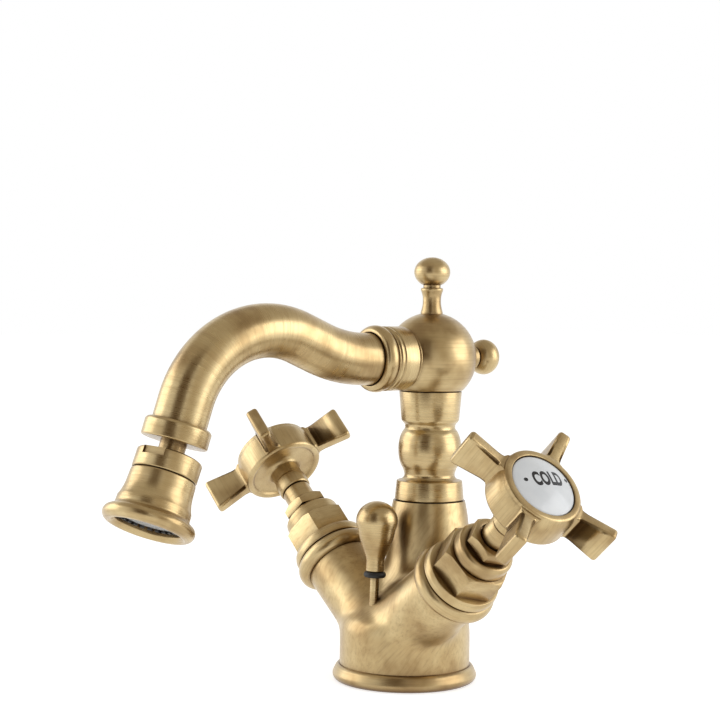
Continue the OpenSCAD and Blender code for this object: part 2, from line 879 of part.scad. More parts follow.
module aerator_gasket() {
    color(DARK)
        on_jet()
            translate([0, 0, insert_top])
                difference() {
                    cylinder(r = insert_r, h = gasket_h);
                    translate([0, 0, -1])
                        cylinder(r = gasket_hole_r, h = gasket_h + 2);
                }
}

module aerator_insert() {
    color(DARK)
        on_jet()
            translate([0, 0, insert_top - insert_h])
                difference() {
                    cylinder(r = insert_r, h = insert_h);
                    translate([0, 0, -1])
                        cylinder(r = insert_r - insert_rim, h = insert_h - 1);
                    for (i = [0:insert_holes - 1])
                        rotate([0, 0, i * 360 / insert_holes])
                            translate([gasket_hole_r - 1, 0, insert_h - 3])
                                cylinder(r = insert_hole_r, h = 4);
                }
}

module aerator_screen() {
    color(CERAMIC)
        on_jet()
            translate([0, 0, insert_top - insert_h + 1])
                cylinder(r = insert_r - insert_rim, h = screen_t);
}

// ---- valves ----

module arm_ring(side) {
    color(BRASS)
        along_valve(side)
            translate([0, 0, arm_len])
                rotate_extrude()
                    polygon(concat([[thread_r + fit, 0], [arm_r, 0]],
                        arc_points(arm_r, arm_ring_h / 2, arm_ring_r - arm_r, arm_ring_h / 2, -80, 70, 10),
                        [[arm_r, arm_ring_h], [thread_r + fit, arm_ring_h]]));
}

module bonnet(side) {
    hex_r = hex_af / 2 / cos(30);
    core_r = bonnet_r - 1;
    color(BRASS)
        along_valve(side)
            difference() {
                union() {
                    rotate_extrude()
                        polygon([[0, bonnet_foot], [thread_r, bonnet_foot], [thread_r, bonnet_groove_s],
                            [thread_r - groove_depth, bonnet_groove_s],
                            [thread_r - groove_depth, bonnet_groove_s + bonnet_groove_w],
                            [thread_r, bonnet_groove_s + bonnet_groove_w],
                            [thread_r, flange_s], [flange_r, flange_s],
                            [flange_r, hex_s - 1.8], [flange_r - 0.5, hex_s], [core_r, hex_s],
                            [core_r, round_s], [bonnet_r, round_s], [bonnet_r, bonnet_end - 1.4],
                            [bonnet_r - 1.2, bonnet_end], [0, bonnet_end]]);
                    // hexagon with turned corners
                    intersection() {
                        translate([0, 0, hex_s])
                            rotate([0, 0, hex_turn])
                                cylinder(r = hex_r, h = hex_h, $fn = 6);
                        translate([0, 0, hex_s])
                            cylinder(r1 = hex_r + 3, r2 = hex_r - 1.2, h = hex_h);
                    }
                }
                rotate_extrude()
                    polygon([[0, bonnet_foot - 1], [cage_r, bonnet_foot - 1], [cage_r, cage_end],
                        [spindle_r + fit, cage_end], [spindle_r + fit, bonnet_end - gland_thread_h],
                        [gland_thread_r, bonnet_end - gland_thread_h], [gland_thread_r, bonnet_end + 1],
                        [0, bonnet_end + 1]]);
                // water windows beside the discs
                for (turn = [0, 180])
                    rotate([0, 0, turn])
                        translate([disc_r - 1, -2.5, turning_s + disc_t * 0.2])
                            cube([4, 5, 3]);
            }
}

module bonnet_oring(side) {
    color(DARK)
        along_valve(side)
            translate([0, 0, bonnet_groove_s])
                difference() {
                    cylinder(r = thread_r, h = bonnet_groove_w);
                    translate([0, 0, -1])
                        cylinder(r = thread_r - groove_depth, h = bonnet_groove_w + 2);
                }
}

module seat_seal(side) {
    color(DARK)
        along_valve(side)
            translate([0, 0, seat_s])
                difference() {
                    cylinder(r = disc_r, h = seal_h);
                    translate([0, 0, -1])
                        cylinder(r = waterway_r - 0.5, h = seal_h + 2);
                }
}

// A ceramic disc with its two opposite ports.
module disc(side, s, turn) {
    along_valve(side)
        translate([0, 0, s])
            rotate([0, 0, turn])
                difference() {
                    cylinder(r = disc_r, h = disc_t);
                    for (i = [0, 180])
                        rotate([0, 0, i])
                            translate([disc_r * 0.52, 0, -1])
                                cylinder(r = disc_r * 0.3, h = disc_t + 2);
                }
}

module fixed_disc(side) {
    color(CERAMIC)
        disc(side, fixed_s, 0);
}

module turning_disc(side) {
    color(PORCELAIN)
        disc(side, turning_s, 90);
}

module spindle(side) {
    drive_r = disc_r - 0.6;
    color(BRASS)
        along_valve(side)
            difference() {
                union() {
                    translate([0, 0, turning_s + disc_t])
                        cylinder(r = drive_r, h = 2);
                    translate([0, 0, turning_s + disc_t])
                        cylinder(r = spindle_r, h = sleeve_end - turning_s - disc_t);
                    translate([0, 0, gland_end + gap])
                        turned(sleeve_r, sleeve_end - gland_end - gap);
                    translate([0, 0, sleeve_end - 1])
                        cylinder(r = broach_r, h = broach_end - sleeve_end + 1, $fn = 12);
                }
                translate([0, 0, broach_end - 9])
                    cylinder(r = handle_screw_r, h = 10);
                for (s = spindle_grooves)
                    translate([0, 0, s])
                        difference() {
                            cylinder(r = spindle_r + 1, h = spindle_groove_w);
                            translate([0, 0, -1])
                                cylinder(r = spindle_r - groove_depth, h = spindle_groove_w + 2);
                        }
            }
}

module spindle_orings(side) {
    color(DARK)
        along_valve(side)
            for (s = spindle_grooves)
                translate([0, 0, s])
                    difference() {
                        cylinder(r = spindle_r, h = spindle_groove_w);
                        translate([0, 0, -1])
                            cylinder(r = spindle_r - groove_depth, h = spindle_groove_w + 2);
                    }
}

module gland_nut(side) {
    af_r = gland_af / 2 / cos(30);
    color(BRASS)
        along_valve(side)
            difference() {
                union() {
                    translate([0, 0, bonnet_end - gland_thread_h])
                        cylinder(r = gland_thread_r, h = gland_thread_h + 2);
                    // hexagon with turned corners
                    intersection() {
                        translate([0, 0, gland_s])
                            rotate([0, 0, hex_turn])
                                cylinder(r = af_r, h = gland_h, $fn = 6);
                        translate([0, 0, gland_s])
                            cylinder(r1 = af_r + 3, r2 = af_r - 1, h = gland_h);
                    }
                    translate([0, 0, bonnet_end])
                        cylinder(r = gland_af / 2 - 0.6, h = gland_s - bonnet_end + 0.5);
                }
                cylinder(r = spindle_r + fit, h = gland_end + 5);
                translate([0, 0, gland_end - 2.2])
                    cylinder(r = sleeve_r + gap, h = 5);
            }
}

// ---- handles ----

// One flat fin in the local XZ plane, wider at its rounded tip.
module fin() {
    mid = drum_h / 2;
    corner = 2;
    rotate([90, 0, 0])
        translate([0, 0, -fin_t / 2])
            linear_extrude(height = fin_t) {
                polygon([[drum_r - 2, mid - fin_root_w / 2], [fin_r - corner, mid - fin_tip_w / 2],
                    [fin_r, mid - fin_tip_w / 2 + corner], [fin_r, mid + fin_tip_w / 2 - corner],
                    [fin_r - corner, mid + fin_tip_w / 2], [drum_r - 2, mid + fin_root_w / 2]]);
                for (up = [-1, 1])
                    translate([fin_r - corner, mid + up * (fin_tip_w / 2 - corner)])
                        circle(r = corner, $fn = 24);
            }
}

module handle(side) {
    color(BRASS)
        along_valve(side)
            translate([0, 0, handle_s])
                difference() {
                    union() {
                        rotate_extrude()
                            polygon(concat(
                                [[0, -boss_h], [boss_r - 0.4, -boss_h], [boss_r, 0.4 - boss_h],
                                    [boss_r, -boss_h * 0.55], [boss_r - 0.5, -boss_h * 0.45],
                                    [boss_r - 0.3, -boss_h * 0.1], [boss_r + 0.6, 0]],
                                arc_points(drum_r - drum_back, drum_back, drum_back, drum_back,
                                    -90, 0, 6),
                                arc_points(drum_r - drum_front, drum_h / 2, drum_front, drum_h / 2,
                                    0, 90, 6),
                                [[0, drum_h]]));
                        for (i = [0:fin_count - 1])
                            rotate([0, 0, side * fin_turn + i * 360 / fin_count])
                                fin();
                    }
                    translate([0, 0, -boss_h - 1])
                        cylinder(r = broach_r + fit, h = boss_h + 1 + broach_end - handle_s, $fn = 12);
                    cylinder(r = handle_screw_r + 0.2, h = drum_h + 1);
                    translate([0, 0, broach_end - handle_s + 1])
                        cylinder(r = screw_head_r + 0.4, h = drum_h);
                    translate([0, 0, drum_h - recess_h])
                        cylinder(r = button_r, h = recess_h + 1);
                }
}

module handle_screw(side) {
    head = 2.4;
    color(BRASS)
        along_valve(side)
            translate([0, 0, broach_end + 1])
                difference() {
                    union() {
                        turned(screw_head_r, head, 0.4);
                        translate([0, 0, -8])
                            cylinder(r = handle_screw_r, h = 9);
                    }
                    translate([-screw_head_r - 1, -0.5, head - 0.9])
                        cube([2 * screw_head_r + 2, 1, 2]);
                }
}

module index_button(side) {
    color(PORCELAIN)
        along_valve(side)
            translate([0, 0, handle_s + drum_h - recess_h])
                rotate_extrude()
                    polygon(concat([[0, 0], [button_r - fit, 0], [button_r - fit, button_h - 1.2]],
                        arc_points(0, button_h - 1.3, button_r - 0.35, 1.3, 8, 90, 12)));
}

// ---- lift rod ----

module lift_rod() {
    color(BRASS)
        on_rod()
            translate([0, 0, -rod_tail])
                cylinder(r = rod_r, h = rod_tail + knob_foot + rod_grip);
}

module lift_knob() {
    drop_n = 16;
    color(BRASS)
        on_rod()
            translate([0, 0, knob_foot])
                difference() {
                    rotate_extrude()
                        polygon(concat([[0, 0], [knob_neck_r - 0.3, 0], [knob_neck_r, 0.4],
                                [knob_neck_r, 4.6],
                                [knob_neck_r + 0.4, 5.4], [knob_neck_r + 1.6, 8.8],
                                [knob_neck_r + 2.9, 12]],
                            arc_points(0, knob_ball_z, knob_r, knob_r * 0.94, -22, 90, drop_n)));
                    translate([0, 0, -1])
                        cylinder(r = rod_r, h = rod_grip + 1);
                }
}

module lift_knob_ring() {
    color(DARK)
        on_rod()
            translate([0, 0, rod_free])
                rotate_extrude()
                    polygon(concat([[rod_r, 0], [knob_ring_r - 0.8, 0]],
                        arc_points(knob_ring_r - 0.8, knob_ring_t / 2, 0.8, knob_ring_t / 2, -80, 80, 6),
                        [[rod_r, knob_ring_t]]));
}

base_gasket();
base_ring();
body();
lift_rod_bush();
column();
column_orings();
column_washer();
column_grub_screw();
hub();
top_finial_stem();
top_finial_ball();
back_finial();
union_nut();
spout_seal();
spout_tube();
outlet_collar();
ball_stud();
ball_seat();
ball_seal();
swivel_nut();
outlet_bell();
aerator_gasket();
aerator_insert();
aerator_screen();
arm_ring(HOT);  // hot_arm_ring
bonnet(HOT);  // hot_bonnet
bonnet_oring(HOT);  // hot_bonnet_oring
seat_seal(HOT);  // hot_seat_seal
fixed_disc(HOT);  // hot_fixed_disc
turning_disc(HOT);  // hot_turning_disc
spindle(HOT);  // hot_spindle
spindle_orings(HOT);  // hot_spindle_orings
gland_nut(HOT);  // hot_gland_nut
handle(HOT);  // hot_handle
handle_screw(HOT);  // hot_handle_screw
index_button(HOT);  // hot_index_button
arm_ring(COLD);  // cold_arm_ring
bonnet(COLD);  // cold_bonnet
bonnet_oring(COLD);  // cold_bonnet_oring
seat_seal(COLD);  // cold_seat_seal
fixed_disc(COLD);  // cold_fixed_disc
turning_disc(COLD);  // cold_turning_disc
spindle(COLD);  // cold_spindle
spindle_orings(COLD);  // cold_spindle_orings
gland_nut(COLD);  // cold_gland_nut
handle(COLD);  // cold_handle
handle_screw(COLD);  // cold_handle_screw
index_button(COLD);  // cold_index_button
lift_rod();
lift_knob();
lift_knob_ring();
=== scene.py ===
import math

import bmesh
import bpy
from mathutils import Matrix, Vector


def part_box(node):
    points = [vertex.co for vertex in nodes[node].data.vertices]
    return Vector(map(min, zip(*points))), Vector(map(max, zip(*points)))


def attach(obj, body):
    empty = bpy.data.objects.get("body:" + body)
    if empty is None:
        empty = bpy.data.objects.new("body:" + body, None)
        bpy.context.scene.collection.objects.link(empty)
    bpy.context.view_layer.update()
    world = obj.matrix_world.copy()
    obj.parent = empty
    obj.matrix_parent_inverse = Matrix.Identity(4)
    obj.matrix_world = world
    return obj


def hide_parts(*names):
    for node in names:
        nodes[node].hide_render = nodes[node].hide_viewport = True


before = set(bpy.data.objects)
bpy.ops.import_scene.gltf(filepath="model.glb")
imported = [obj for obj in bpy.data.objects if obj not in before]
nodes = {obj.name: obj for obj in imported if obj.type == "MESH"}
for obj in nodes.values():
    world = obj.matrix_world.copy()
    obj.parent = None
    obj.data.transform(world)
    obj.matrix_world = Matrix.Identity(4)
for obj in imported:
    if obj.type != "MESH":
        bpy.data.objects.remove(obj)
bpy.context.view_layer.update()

# ---- Base ring ----------------------------------------------------------
# The turned brass ring that the body stands in: a fat lower bead that draws in to a cove under
# the body. It is machined from bar, brushed on the lathe and left loose round the body's spigot.
MM = 0.001
AROUND = 128             # facets round a turned piece
ONE_POINT = 0.002 * MM   # points closer than this are one


def arc(middle, radii, start, end, count):
    """Points of an ellipse about middle, from angle start to end in degrees. Their corners stay unrounded."""
    angles = [math.radians(start + (end - start) * i / count) for i in range(count + 1)]
    return [(middle[0] + radii[0] * math.cos(a), middle[1] + radii[1] * math.sin(a), 0) for a in angles]


def turned(outline, place=Matrix(), soft=0.3, closed=False):
    """A bmesh spun round local Z from points (radius, height) in millimetres.

    A point's third number is its corner's own rounding, in place of soft.
    """
    bm = bmesh.new()
    points = [bm.verts.new((p[0] * MM, 0, p[1] * MM)) for p in outline]
    ends = list(zip(points, points[1:]))
    if closed:
        ends.append((points[-1], points[0]))
    for a, b in ends:
        bm.edges.new((a, b))
    bm.verts.ensure_lookup_table()
    rounded = {}
    for vert, p in zip(points, outline):
        size = p[2] if len(p) > 2 else soft
        if size > 0 and len(vert.link_edges) == 2 and p[0] > 0:
            rounded.setdefault(size, []).append(vert)
    for size, corners in rounded.items():
        bmesh.ops.bevel(bm, geom=corners, offset=size * MM, offset_type="OFFSET", segments=4, profile=0.5,
                        affect="VERTICES", material=-1, clamp_overlap=True)
    bmesh.ops.spin(bm, geom=bm.verts[:] + bm.edges[:], cent=(0, 0, 0), axis=(0, 0, 1), angle=math.tau,
                   steps=AROUND, use_merge=True, use_duplicate=False)
    bmesh.ops.remove_doubles(bm, verts=bm.verts, dist=ONE_POINT)
    bmesh.ops.recalc_face_normals(bm, faces=bm.faces)
    bm.transform(place)
    return bm


def join(*parts):
    """One bmesh from several, which are used up."""
    whole = parts[0]
    for part in parts[1:]:
        mesh = bpy.data.meshes.new("joining")
        part.to_mesh(mesh)
        whole.from_mesh(mesh)
        bpy.data.meshes.remove(mesh)
        part.free()
    return whole


def object_of(bm, name):
    """An object in the scene from a bmesh, which is used up."""
    mesh = bpy.data.meshes.new(name)
    bm.to_mesh(mesh)
    bm.free()
    made = bpy.data.objects.new(name, mesh)
    bpy.context.scene.collection.objects.link(made)
    return made


def piece(name, bm, material, body, replaced=(), crease=34):
    """Makes the finished object from a bmesh, in place and smooth shaded up to the crease angle."""
    made = object_of(bm, name)
    made.data.shade_smooth()
    made.data.set_sharp_from_angle(angle=math.radians(crease))
    made.data.materials.append(material)
    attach(made, body)
    if replaced:
        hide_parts(*replaced)
    return made


def shader(name):
    """A new node material, its tree and its main shader."""
    made = bpy.data.materials.new(name)
    made.use_nodes = True
    tree = made.node_tree
    return made, tree, tree.nodes["Principled BSDF"]


def add(tree, kind, inputs=None, **settings):
    """Adds a node. Inputs are values or other nodes' sockets, by name or number."""
    made = tree.nodes.new(kind)
    for key, value in settings.items():
        setattr(made, key, value)
    for key, value in (inputs or {}).items():
        if isinstance(value, bpy.types.NodeSocket):
            tree.links.new(value, made.inputs[key])
        else:
            made.inputs[key].default_value = value
    return made


def blend_colours(tree, share, a, b, blend="MIX"):
    """Mixes two colours, which are values or sockets, and returns the mixed socket."""
    mixed = add(tree, "ShaderNodeMix", data_type="RGBA", blend_type=blend, clamp_factor=True)
    for socket, value in ((mixed.inputs[0], share), (mixed.inputs[6], a), (mixed.inputs[7], b)):
        if isinstance(value, bpy.types.NodeSocket):
            tree.links.new(value, socket)
        else:
            socket.default_value = value
    return mixed.outputs[2]


def rescale(tree, value, low, high, to_low=0.0, to_high=1.0):
    """Maps a value from one range to another, clamped."""
    inputs = {"Value": value, "From Min": low, "From Max": high, "To Min": to_low, "To Max": to_high}
    return add(tree, "ShaderNodeMapRange", inputs, clamp=True).outputs[0]


BRASS_PALE = (0.58, 0.45, 0.235, 1)
BRASS_WARM = (0.41, 0.285, 0.13, 1)
BRASS_BROWN = (0.15, 0.085, 0.035, 1)
STREAK = 2200            # brush marks a metre
DRAWN = 60               # the same along them
PATCH = 70               # patches of patina a metre
CORNER = 2.2 * MM        # how far from an inner corner brown patina and painted shade reach
HOLLOW_SHADE = 15 * MM         # how far a fainter painted shade reaches into a wide hollow


def streaks(tree, spot, far, scale, detail):
    """Noise drawn out along brush marks, at spot times scale.

    far, where it isn't None, is a distance that the noise changes with as well.
    """
    stretched = add(tree, "ShaderNodeVectorMath", {0: spot, 1: scale}, operation="MULTIPLY").outputs[0]
    inputs = {"Vector": stretched, "Scale": 1.0, "Detail": detail, "Roughness": 0.6}
    if far is not None:
        inputs["W"] = add(tree, "ShaderNodeMath", {0: far, 1: scale[2]}, operation="MULTIPLY").outputs[0]
    return add(tree, "ShaderNodeTexNoise", inputs, noise_dimensions="4D").outputs[0]


def finish_brass(made, tree, main, fine, broad, here, roughness, marks):
    """Aged satin brass from fine and broad brush marks, with patches of patina, brown patina and painted shade
    in the corners, and fainter painted shade in wide hollows.

    marks is how strongly the brush marks show.
    """
    clouds = {"Vector": here, "Scale": PATCH, "Detail": 3.0, "Roughness": 0.55}
    patch = add(tree, "ShaderNodeTexNoise", clouds).outputs[0]
    tone = blend_colours(tree, rescale(tree, patch, 0.38, 0.66), BRASS_PALE, BRASS_WARM)
    tone = blend_colours(tree, rescale(tree, broad, 0.45, 0.75, 0.0, 0.6), tone, BRASS_WARM)
    tone = blend_colours(tree, rescale(tree, fine, 0.48, 0.8, 0.0, marks), tone, BRASS_BROWN)
    tone = blend_colours(tree, rescale(tree, patch, 0.55, 0.75, 0.0, 0.3), tone, BRASS_BROWN)
    # Painted shade: ambient occlusion turns the tone brown in inner corners, where it also stands for patina,
    # and more faintly in wide hollows.
    for reach, closed_in, open_out, brown in ((CORNER, 0.3, 0.9, 0.9), (HOLLOW_SHADE, 0.25, 0.85, 0.55)):
        shut = add(tree, "ShaderNodeAmbientOcclusion", {"Distance": reach}, samples=6).outputs["AO"]
        tone = blend_colours(tree, rescale(tree, shut, closed_in, open_out, brown, 0.0), tone, BRASS_BROWN)
    tree.links.new(tone, main.inputs["Base Color"])
    rough = rescale(tree, fine, 0.3, 0.75, roughness - 0.05, roughness + 0.09)
    tree.links.new(rough, main.inputs["Roughness"])
    main.inputs["Metallic"].default_value = 1.0
    main.inputs["Coat Weight"].default_value = 0.25
    main.inputs["Coat Roughness"].default_value = 0.3
    bump = add(tree, "ShaderNodeBump", {"Strength": marks / 2, "Distance": 0.03 * MM, "Height": fine})
    tree.links.new(bump.outputs[0], main.inputs["Normal"])
    return made


def standing(tree, place):
    """The spot on a piece, on the object and on the axes that the piece was turned on."""
    there = place.inverted()
    spot = add(tree, "ShaderNodeTexCoord").outputs["Object"]
    turn = {"Vector": spot, "Location": there.to_translation(), "Rotation": there.to_euler()}
    return spot, add(tree, "ShaderNodeMapping", turn).outputs[0]


def turned_brass(name, place=Matrix(), roughness=0.3):
    """Brass brushed in rings round the axis of a piece that place stands on."""
    made, tree, main = shader(name)
    spot, own = standing(tree, place)
    axes = add(tree, "ShaderNodeSeparateXYZ", {0: own}).outputs
    flat = add(tree, "ShaderNodeCombineXYZ", {0: axes[0], 1: axes[1]}).outputs[0]
    radius = add(tree, "ShaderNodeVectorMath", {0: flat}, operation="LENGTH").outputs["Value"]
    fine = streaks(tree, own, radius, (DRAWN, DRAWN, STREAK), 4.0)
    broad = streaks(tree, own, radius, (DRAWN, DRAWN, STREAK / 5), 2.0)
    return finish_brass(made, tree, main, fine, broad, spot, roughness, 0.3)


ring_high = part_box("base_ring")[1]
RING_R = ring_high.x / MM
RING_H = ring_high.z / MM
SPIGOT_R = 20.8
BODY_R = 23.0

ring_outline = ([(SPIGOT_R, 0, 0)]
                + arc((RING_R - 2.3, 2.3), (2.3, 2.3), -90, 15, 10)
                + arc((BODY_R + 0.15, RING_H - 2.6), (1.75, 2.45), 28, 84, 8)
                + [(BODY_R - 0.35, RING_H - 0.35, 0.1), (SPIGOT_R, RING_H - 0.35, 0)])
base_brass = turned_brass("brass_base_ring", Matrix(), 0.34)
piece("spun_base_ring", turned(ring_outline, closed=True), base_brass, "root", ["base_ring"])

# ---- Gasket and the hidden rubber, nylon, ceramic and steel --------------
# The gasket under the foot, the O-rings and the seals are black nitrile rubber with a fine bloom.
# Bushes and seats are natural nylon, the valve discs are sintered ceramic.


def speckled(name, colour, other, roughness, scale, bump=0.1, metallic=0.0):
    """A plain material with a fine mottle of two near colours and a slight grain."""
    made, tree, main = shader(name)
    spot = add(tree, "ShaderNodeTexCoord").outputs["Object"]
    grain = add(tree, "ShaderNodeTexNoise", {"Vector": spot, "Scale": scale, "Detail": 5.0, "Roughness": 0.6})
    tone = blend_colours(tree, rescale(tree, grain.outputs[0], 0.35, 0.65), colour, other)
    tree.links.new(tone, main.inputs["Base Color"])
    rough = rescale(tree, grain.outputs[0], 0.3, 0.7, roughness - 0.06, roughness + 0.06)
    tree.links.new(rough, main.inputs["Roughness"])
    main.inputs["Metallic"].default_value = metallic
    lift = add(tree, "ShaderNodeBump", {"Strength": bump, "Distance": 0.05 * MM, "Height": grain.outputs[0]})
    tree.links.new(lift.outputs[0], main.inputs["Normal"])
    return made


def dress(material, *names):
    """Gives CAD nodes a material in place of their plain one."""
    for name in names:
        mesh = nodes[name].data
        mesh.materials.clear()
        mesh.materials.append(material)


rubber = speckled("black_rubber", (0.010, 0.0095, 0.009, 1), (0.018, 0.017, 0.016, 1), 0.55, 2500)
nylon = speckled("natural_nylon", (0.66, 0.62, 0.53, 1), (0.72, 0.68, 0.6, 1), 0.45, 1200)
ceramic = speckled("sintered_ceramic", (0.5, 0.5, 0.52, 1), (0.58, 0.58, 0.6, 1), 0.22, 3000, 0.02)
dark_steel = speckled("blackened_steel", (0.10, 0.095, 0.09, 1), (0.16, 0.15, 0.14, 1), 0.4, 2200, 0.1, 1.0)
dress(rubber, "base_gasket", "column_orings", "spout_seal", "ball_seal", "aerator_gasket")
dress(nylon, "lift_rod_bush", "column_washer", "ball_seat")
dress(dark_steel, "column_grub_screw")
for side in ("hot", "cold"):
    dress(rubber, side + "_bonnet_oring", side + "_spindle_orings", side + "_seat_seal")
    dress(ceramic, side + "_fixed_disc", side + "_turning_disc")

# ---- Body casting -------------------------------------------------------
# One gravity casting in brass: a round foot, a neck that leans back to the column and two arms for
# the valves, ground and brushed by hand so that every form runs into the next. Its seats are faced.
VALVE_Y = 5.5
VALVE_Z = 10.4
VALVE_RISE = 40.9
ARM_LEN = 40.5
ARM_R = 12.6
COLUMN_Y = 10.4
NECK_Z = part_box("body")[1].z / MM
NECK_R = 12.3
SIDES = {"hot": -1, "cold": 1}


def along_valve(sign):
    """Stands local Z on a valve's axis, with its origin where the two axes cross."""
    return (Matrix.Translation((0, -VALVE_Y * MM, VALVE_Z * MM))
            @ Matrix.Rotation(math.radians(sign * (90 - VALVE_RISE)), 4, "Y"))


def wrapped(*discs):
    """The convex skin round discs, each (centre, radius, place), and balls, each (centre, radius, None)."""
    bm = bmesh.new()
    for centre, radius, place in discs:
        if place is None:
            bmesh.ops.create_uvsphere(bm, u_segments=64, v_segments=32, radius=radius * MM,
                                      matrix=Matrix.Translation(Vector(centre) * MM))
        else:
            bmesh.ops.create_circle(bm, segments=96, radius=radius * MM,
                                    matrix=place @ Matrix.Translation(Vector(centre) * MM))
    hull = bmesh.ops.convex_hull(bm, input=bm.verts)
    spare = [e for e in hull["geom_interior"] + hull["geom_unused"] if isinstance(e, bmesh.types.BMVert)]
    bmesh.ops.delete(bm, geom=list(set(spare)), context="VERTS")
    bmesh.ops.recalc_face_normals(bm, faces=bm.faces)
    return bm


def applied(shaped, *tools):
    """The bmesh of an object with its modifiers applied. The object and its tools are used up."""
    result = bmesh.new()
    result.from_object(shaped, bpy.context.evaluated_depsgraph_get())
    for spare in (shaped, *tools):
        mesh = spare.data
        bpy.data.objects.remove(spare)
        bpy.data.meshes.remove(mesh)
    return result


VOXEL = 0.55 * MM
BLEND_PASSES = 130
SKIRT = 5.0              # spare length past each faced seat, trimmed off after blending
SHRINK = 0.35            # what the blending takes off a round the size of an arm
BODY_BOTTOM = 1.5
BLANK_R = BODY_R + SHRINK / 2
FOOT_TOP = RING_H + 16
SHOULDER_R = 18.5        # the neck where it leaves the foot
NECK_FOOT = NECK_Z - 22.3
NECK_LOW_R = 15          # the neck where its cove starts
NECK_COVE = 2.7          # how far the cove draws in
ARM_ROOT_R = 13.6
ARM_ROOT_Z = 15.2
level = Matrix()
foot = wrapped(((0, 0, BODY_BOTTOM - SKIRT), BLANK_R, level), ((0, 0, FOOT_TOP), BLANK_R, level),
               ((0, 2, FOOT_TOP - 1), 14, None), ((0, -8, FOOT_TOP - 3.8), 12, None))
neck_low = wrapped(((0, 3, FOOT_TOP - 2), SHOULDER_R, level), ((0, 3, FOOT_TOP + 1), SHOULDER_R, level),
                   ((0, COLUMN_Y, NECK_FOOT + 0.5), NECK_LOW_R, level))
neck_rise = NECK_Z - NECK_FOOT
neck_outline = ([(0, -4, 0), (NECK_LOW_R, -4, 0)]
                + arc((NECK_R + SHRINK, 0), (NECK_COVE - SHRINK, neck_rise), 0, 90, 12)
                + [(NECK_R + SHRINK, neck_rise + SKIRT, 0), (0, neck_rise + SKIRT, 0)])
neck = turned(neck_outline, Matrix.Translation((0, COLUMN_Y * MM, NECK_FOOT * MM)))
arms = [wrapped(((0, -VALVE_Y + 0.5, ARM_ROOT_Z), ARM_ROOT_R, None),
                ((0, 0, ARM_LEN + SKIRT), ARM_R + SHRINK, along_valve(sign)))
        for sign in SIDES.values()]
blank = object_of(join(foot, neck_low, neck, *arms), "casting_blank")
skin = blank.modifiers.new("skin", "REMESH")
skin.mode = "VOXEL"
skin.voxel_size = VOXEL
casting = applied(blank)
for i in range(BLEND_PASSES):
    bmesh.ops.smooth_vert(casting, verts=casting.verts, factor=0.5,
                          use_axis_x=True, use_axis_y=True, use_axis_z=True)
ON_PLANE = 0.0005 * MM   # points closer to a cut than this lie on it
FACING = 4               # how far below a faced seat the cut reaches


def faced(bm, place, height, reach):
    """Cuts bm flat across place's local Z at height, within reach of that axis, and closes the cut."""
    back = place.inverted()
    near = set()
    for vert in bm.verts:
        spot = back @ vert.co
        if spot.z > (height - FACING) * MM and Vector((spot.x, spot.y)).length < reach * MM:
            near.add(vert)
    faces = [f for f in bm.faces if all(v in near for v in f.verts)]
    edges = {e for f in faces for e in f.edges}
    verts = {v for f in faces for v in f.verts}
    cut = bmesh.ops.bisect_plane(bm, geom=list(verts) + list(edges) + faces, dist=ON_PLANE,
                                 plane_co=place @ Vector((0, 0, height * MM)),
                                 plane_no=place.to_3x3() @ Vector((0, 0, 1)), clear_outer=True)
    rim = [e for e in cut["geom_cut"] if isinstance(e, bmesh.types.BMEdge) and e.is_boundary]
    bmesh.ops.holes_fill(bm, edges=rim, sides=0)


upside_down = Matrix.Rotation(math.pi, 4, "X")
faced(casting, upside_down, -BODY_BOTTOM, 30)
faced(casting, Matrix.Translation((0, COLUMN_Y * MM, 0)), NECK_Z, 17)
for sign in SIDES.values():
    faced(casting, along_valve(sign), ARM_LEN, 18)
bmesh.ops.recalc_face_normals(casting, faces=casting.faces)


STROKE_TURN = (0.53, -0.38, 0.9)     # how the hand's strokes lie, in radians
STROKE_SWAY = (0.008, 0.008, 0.008)  # how far they wander, in metres


def cast_brass(name):
    """Brass brushed by hand over a casting, in strokes that lean with the arms."""
    made, tree, main = shader(name)
    spot = add(tree, "ShaderNodeTexCoord").outputs["Object"]
    wander = add(tree, "ShaderNodeTexNoise", {"Vector": spot, "Scale": 45.0, "Detail": 1.0}).outputs[1]
    sway = add(tree, "ShaderNodeVectorMath", {0: wander, 1: STROKE_SWAY}, operation="MULTIPLY").outputs[0]
    bent = add(tree, "ShaderNodeVectorMath", {0: spot, 1: sway}, operation="ADD").outputs[0]
    leaning = add(tree, "ShaderNodeMapping", {"Vector": bent, "Rotation": STROKE_TURN}).outputs[0]
    fine = streaks(tree, leaning, None, (STREAK * 0.7, STREAK * 0.45, DRAWN), 4.0)
    broad = streaks(tree, leaning, None, (260, 160, 40), 2.0)
    return finish_brass(made, tree, main, fine, broad, spot, 0.33, 0.42)


piece("body_casting", casting, cast_brass("brass_body"), "root", ["body"], crease=50)

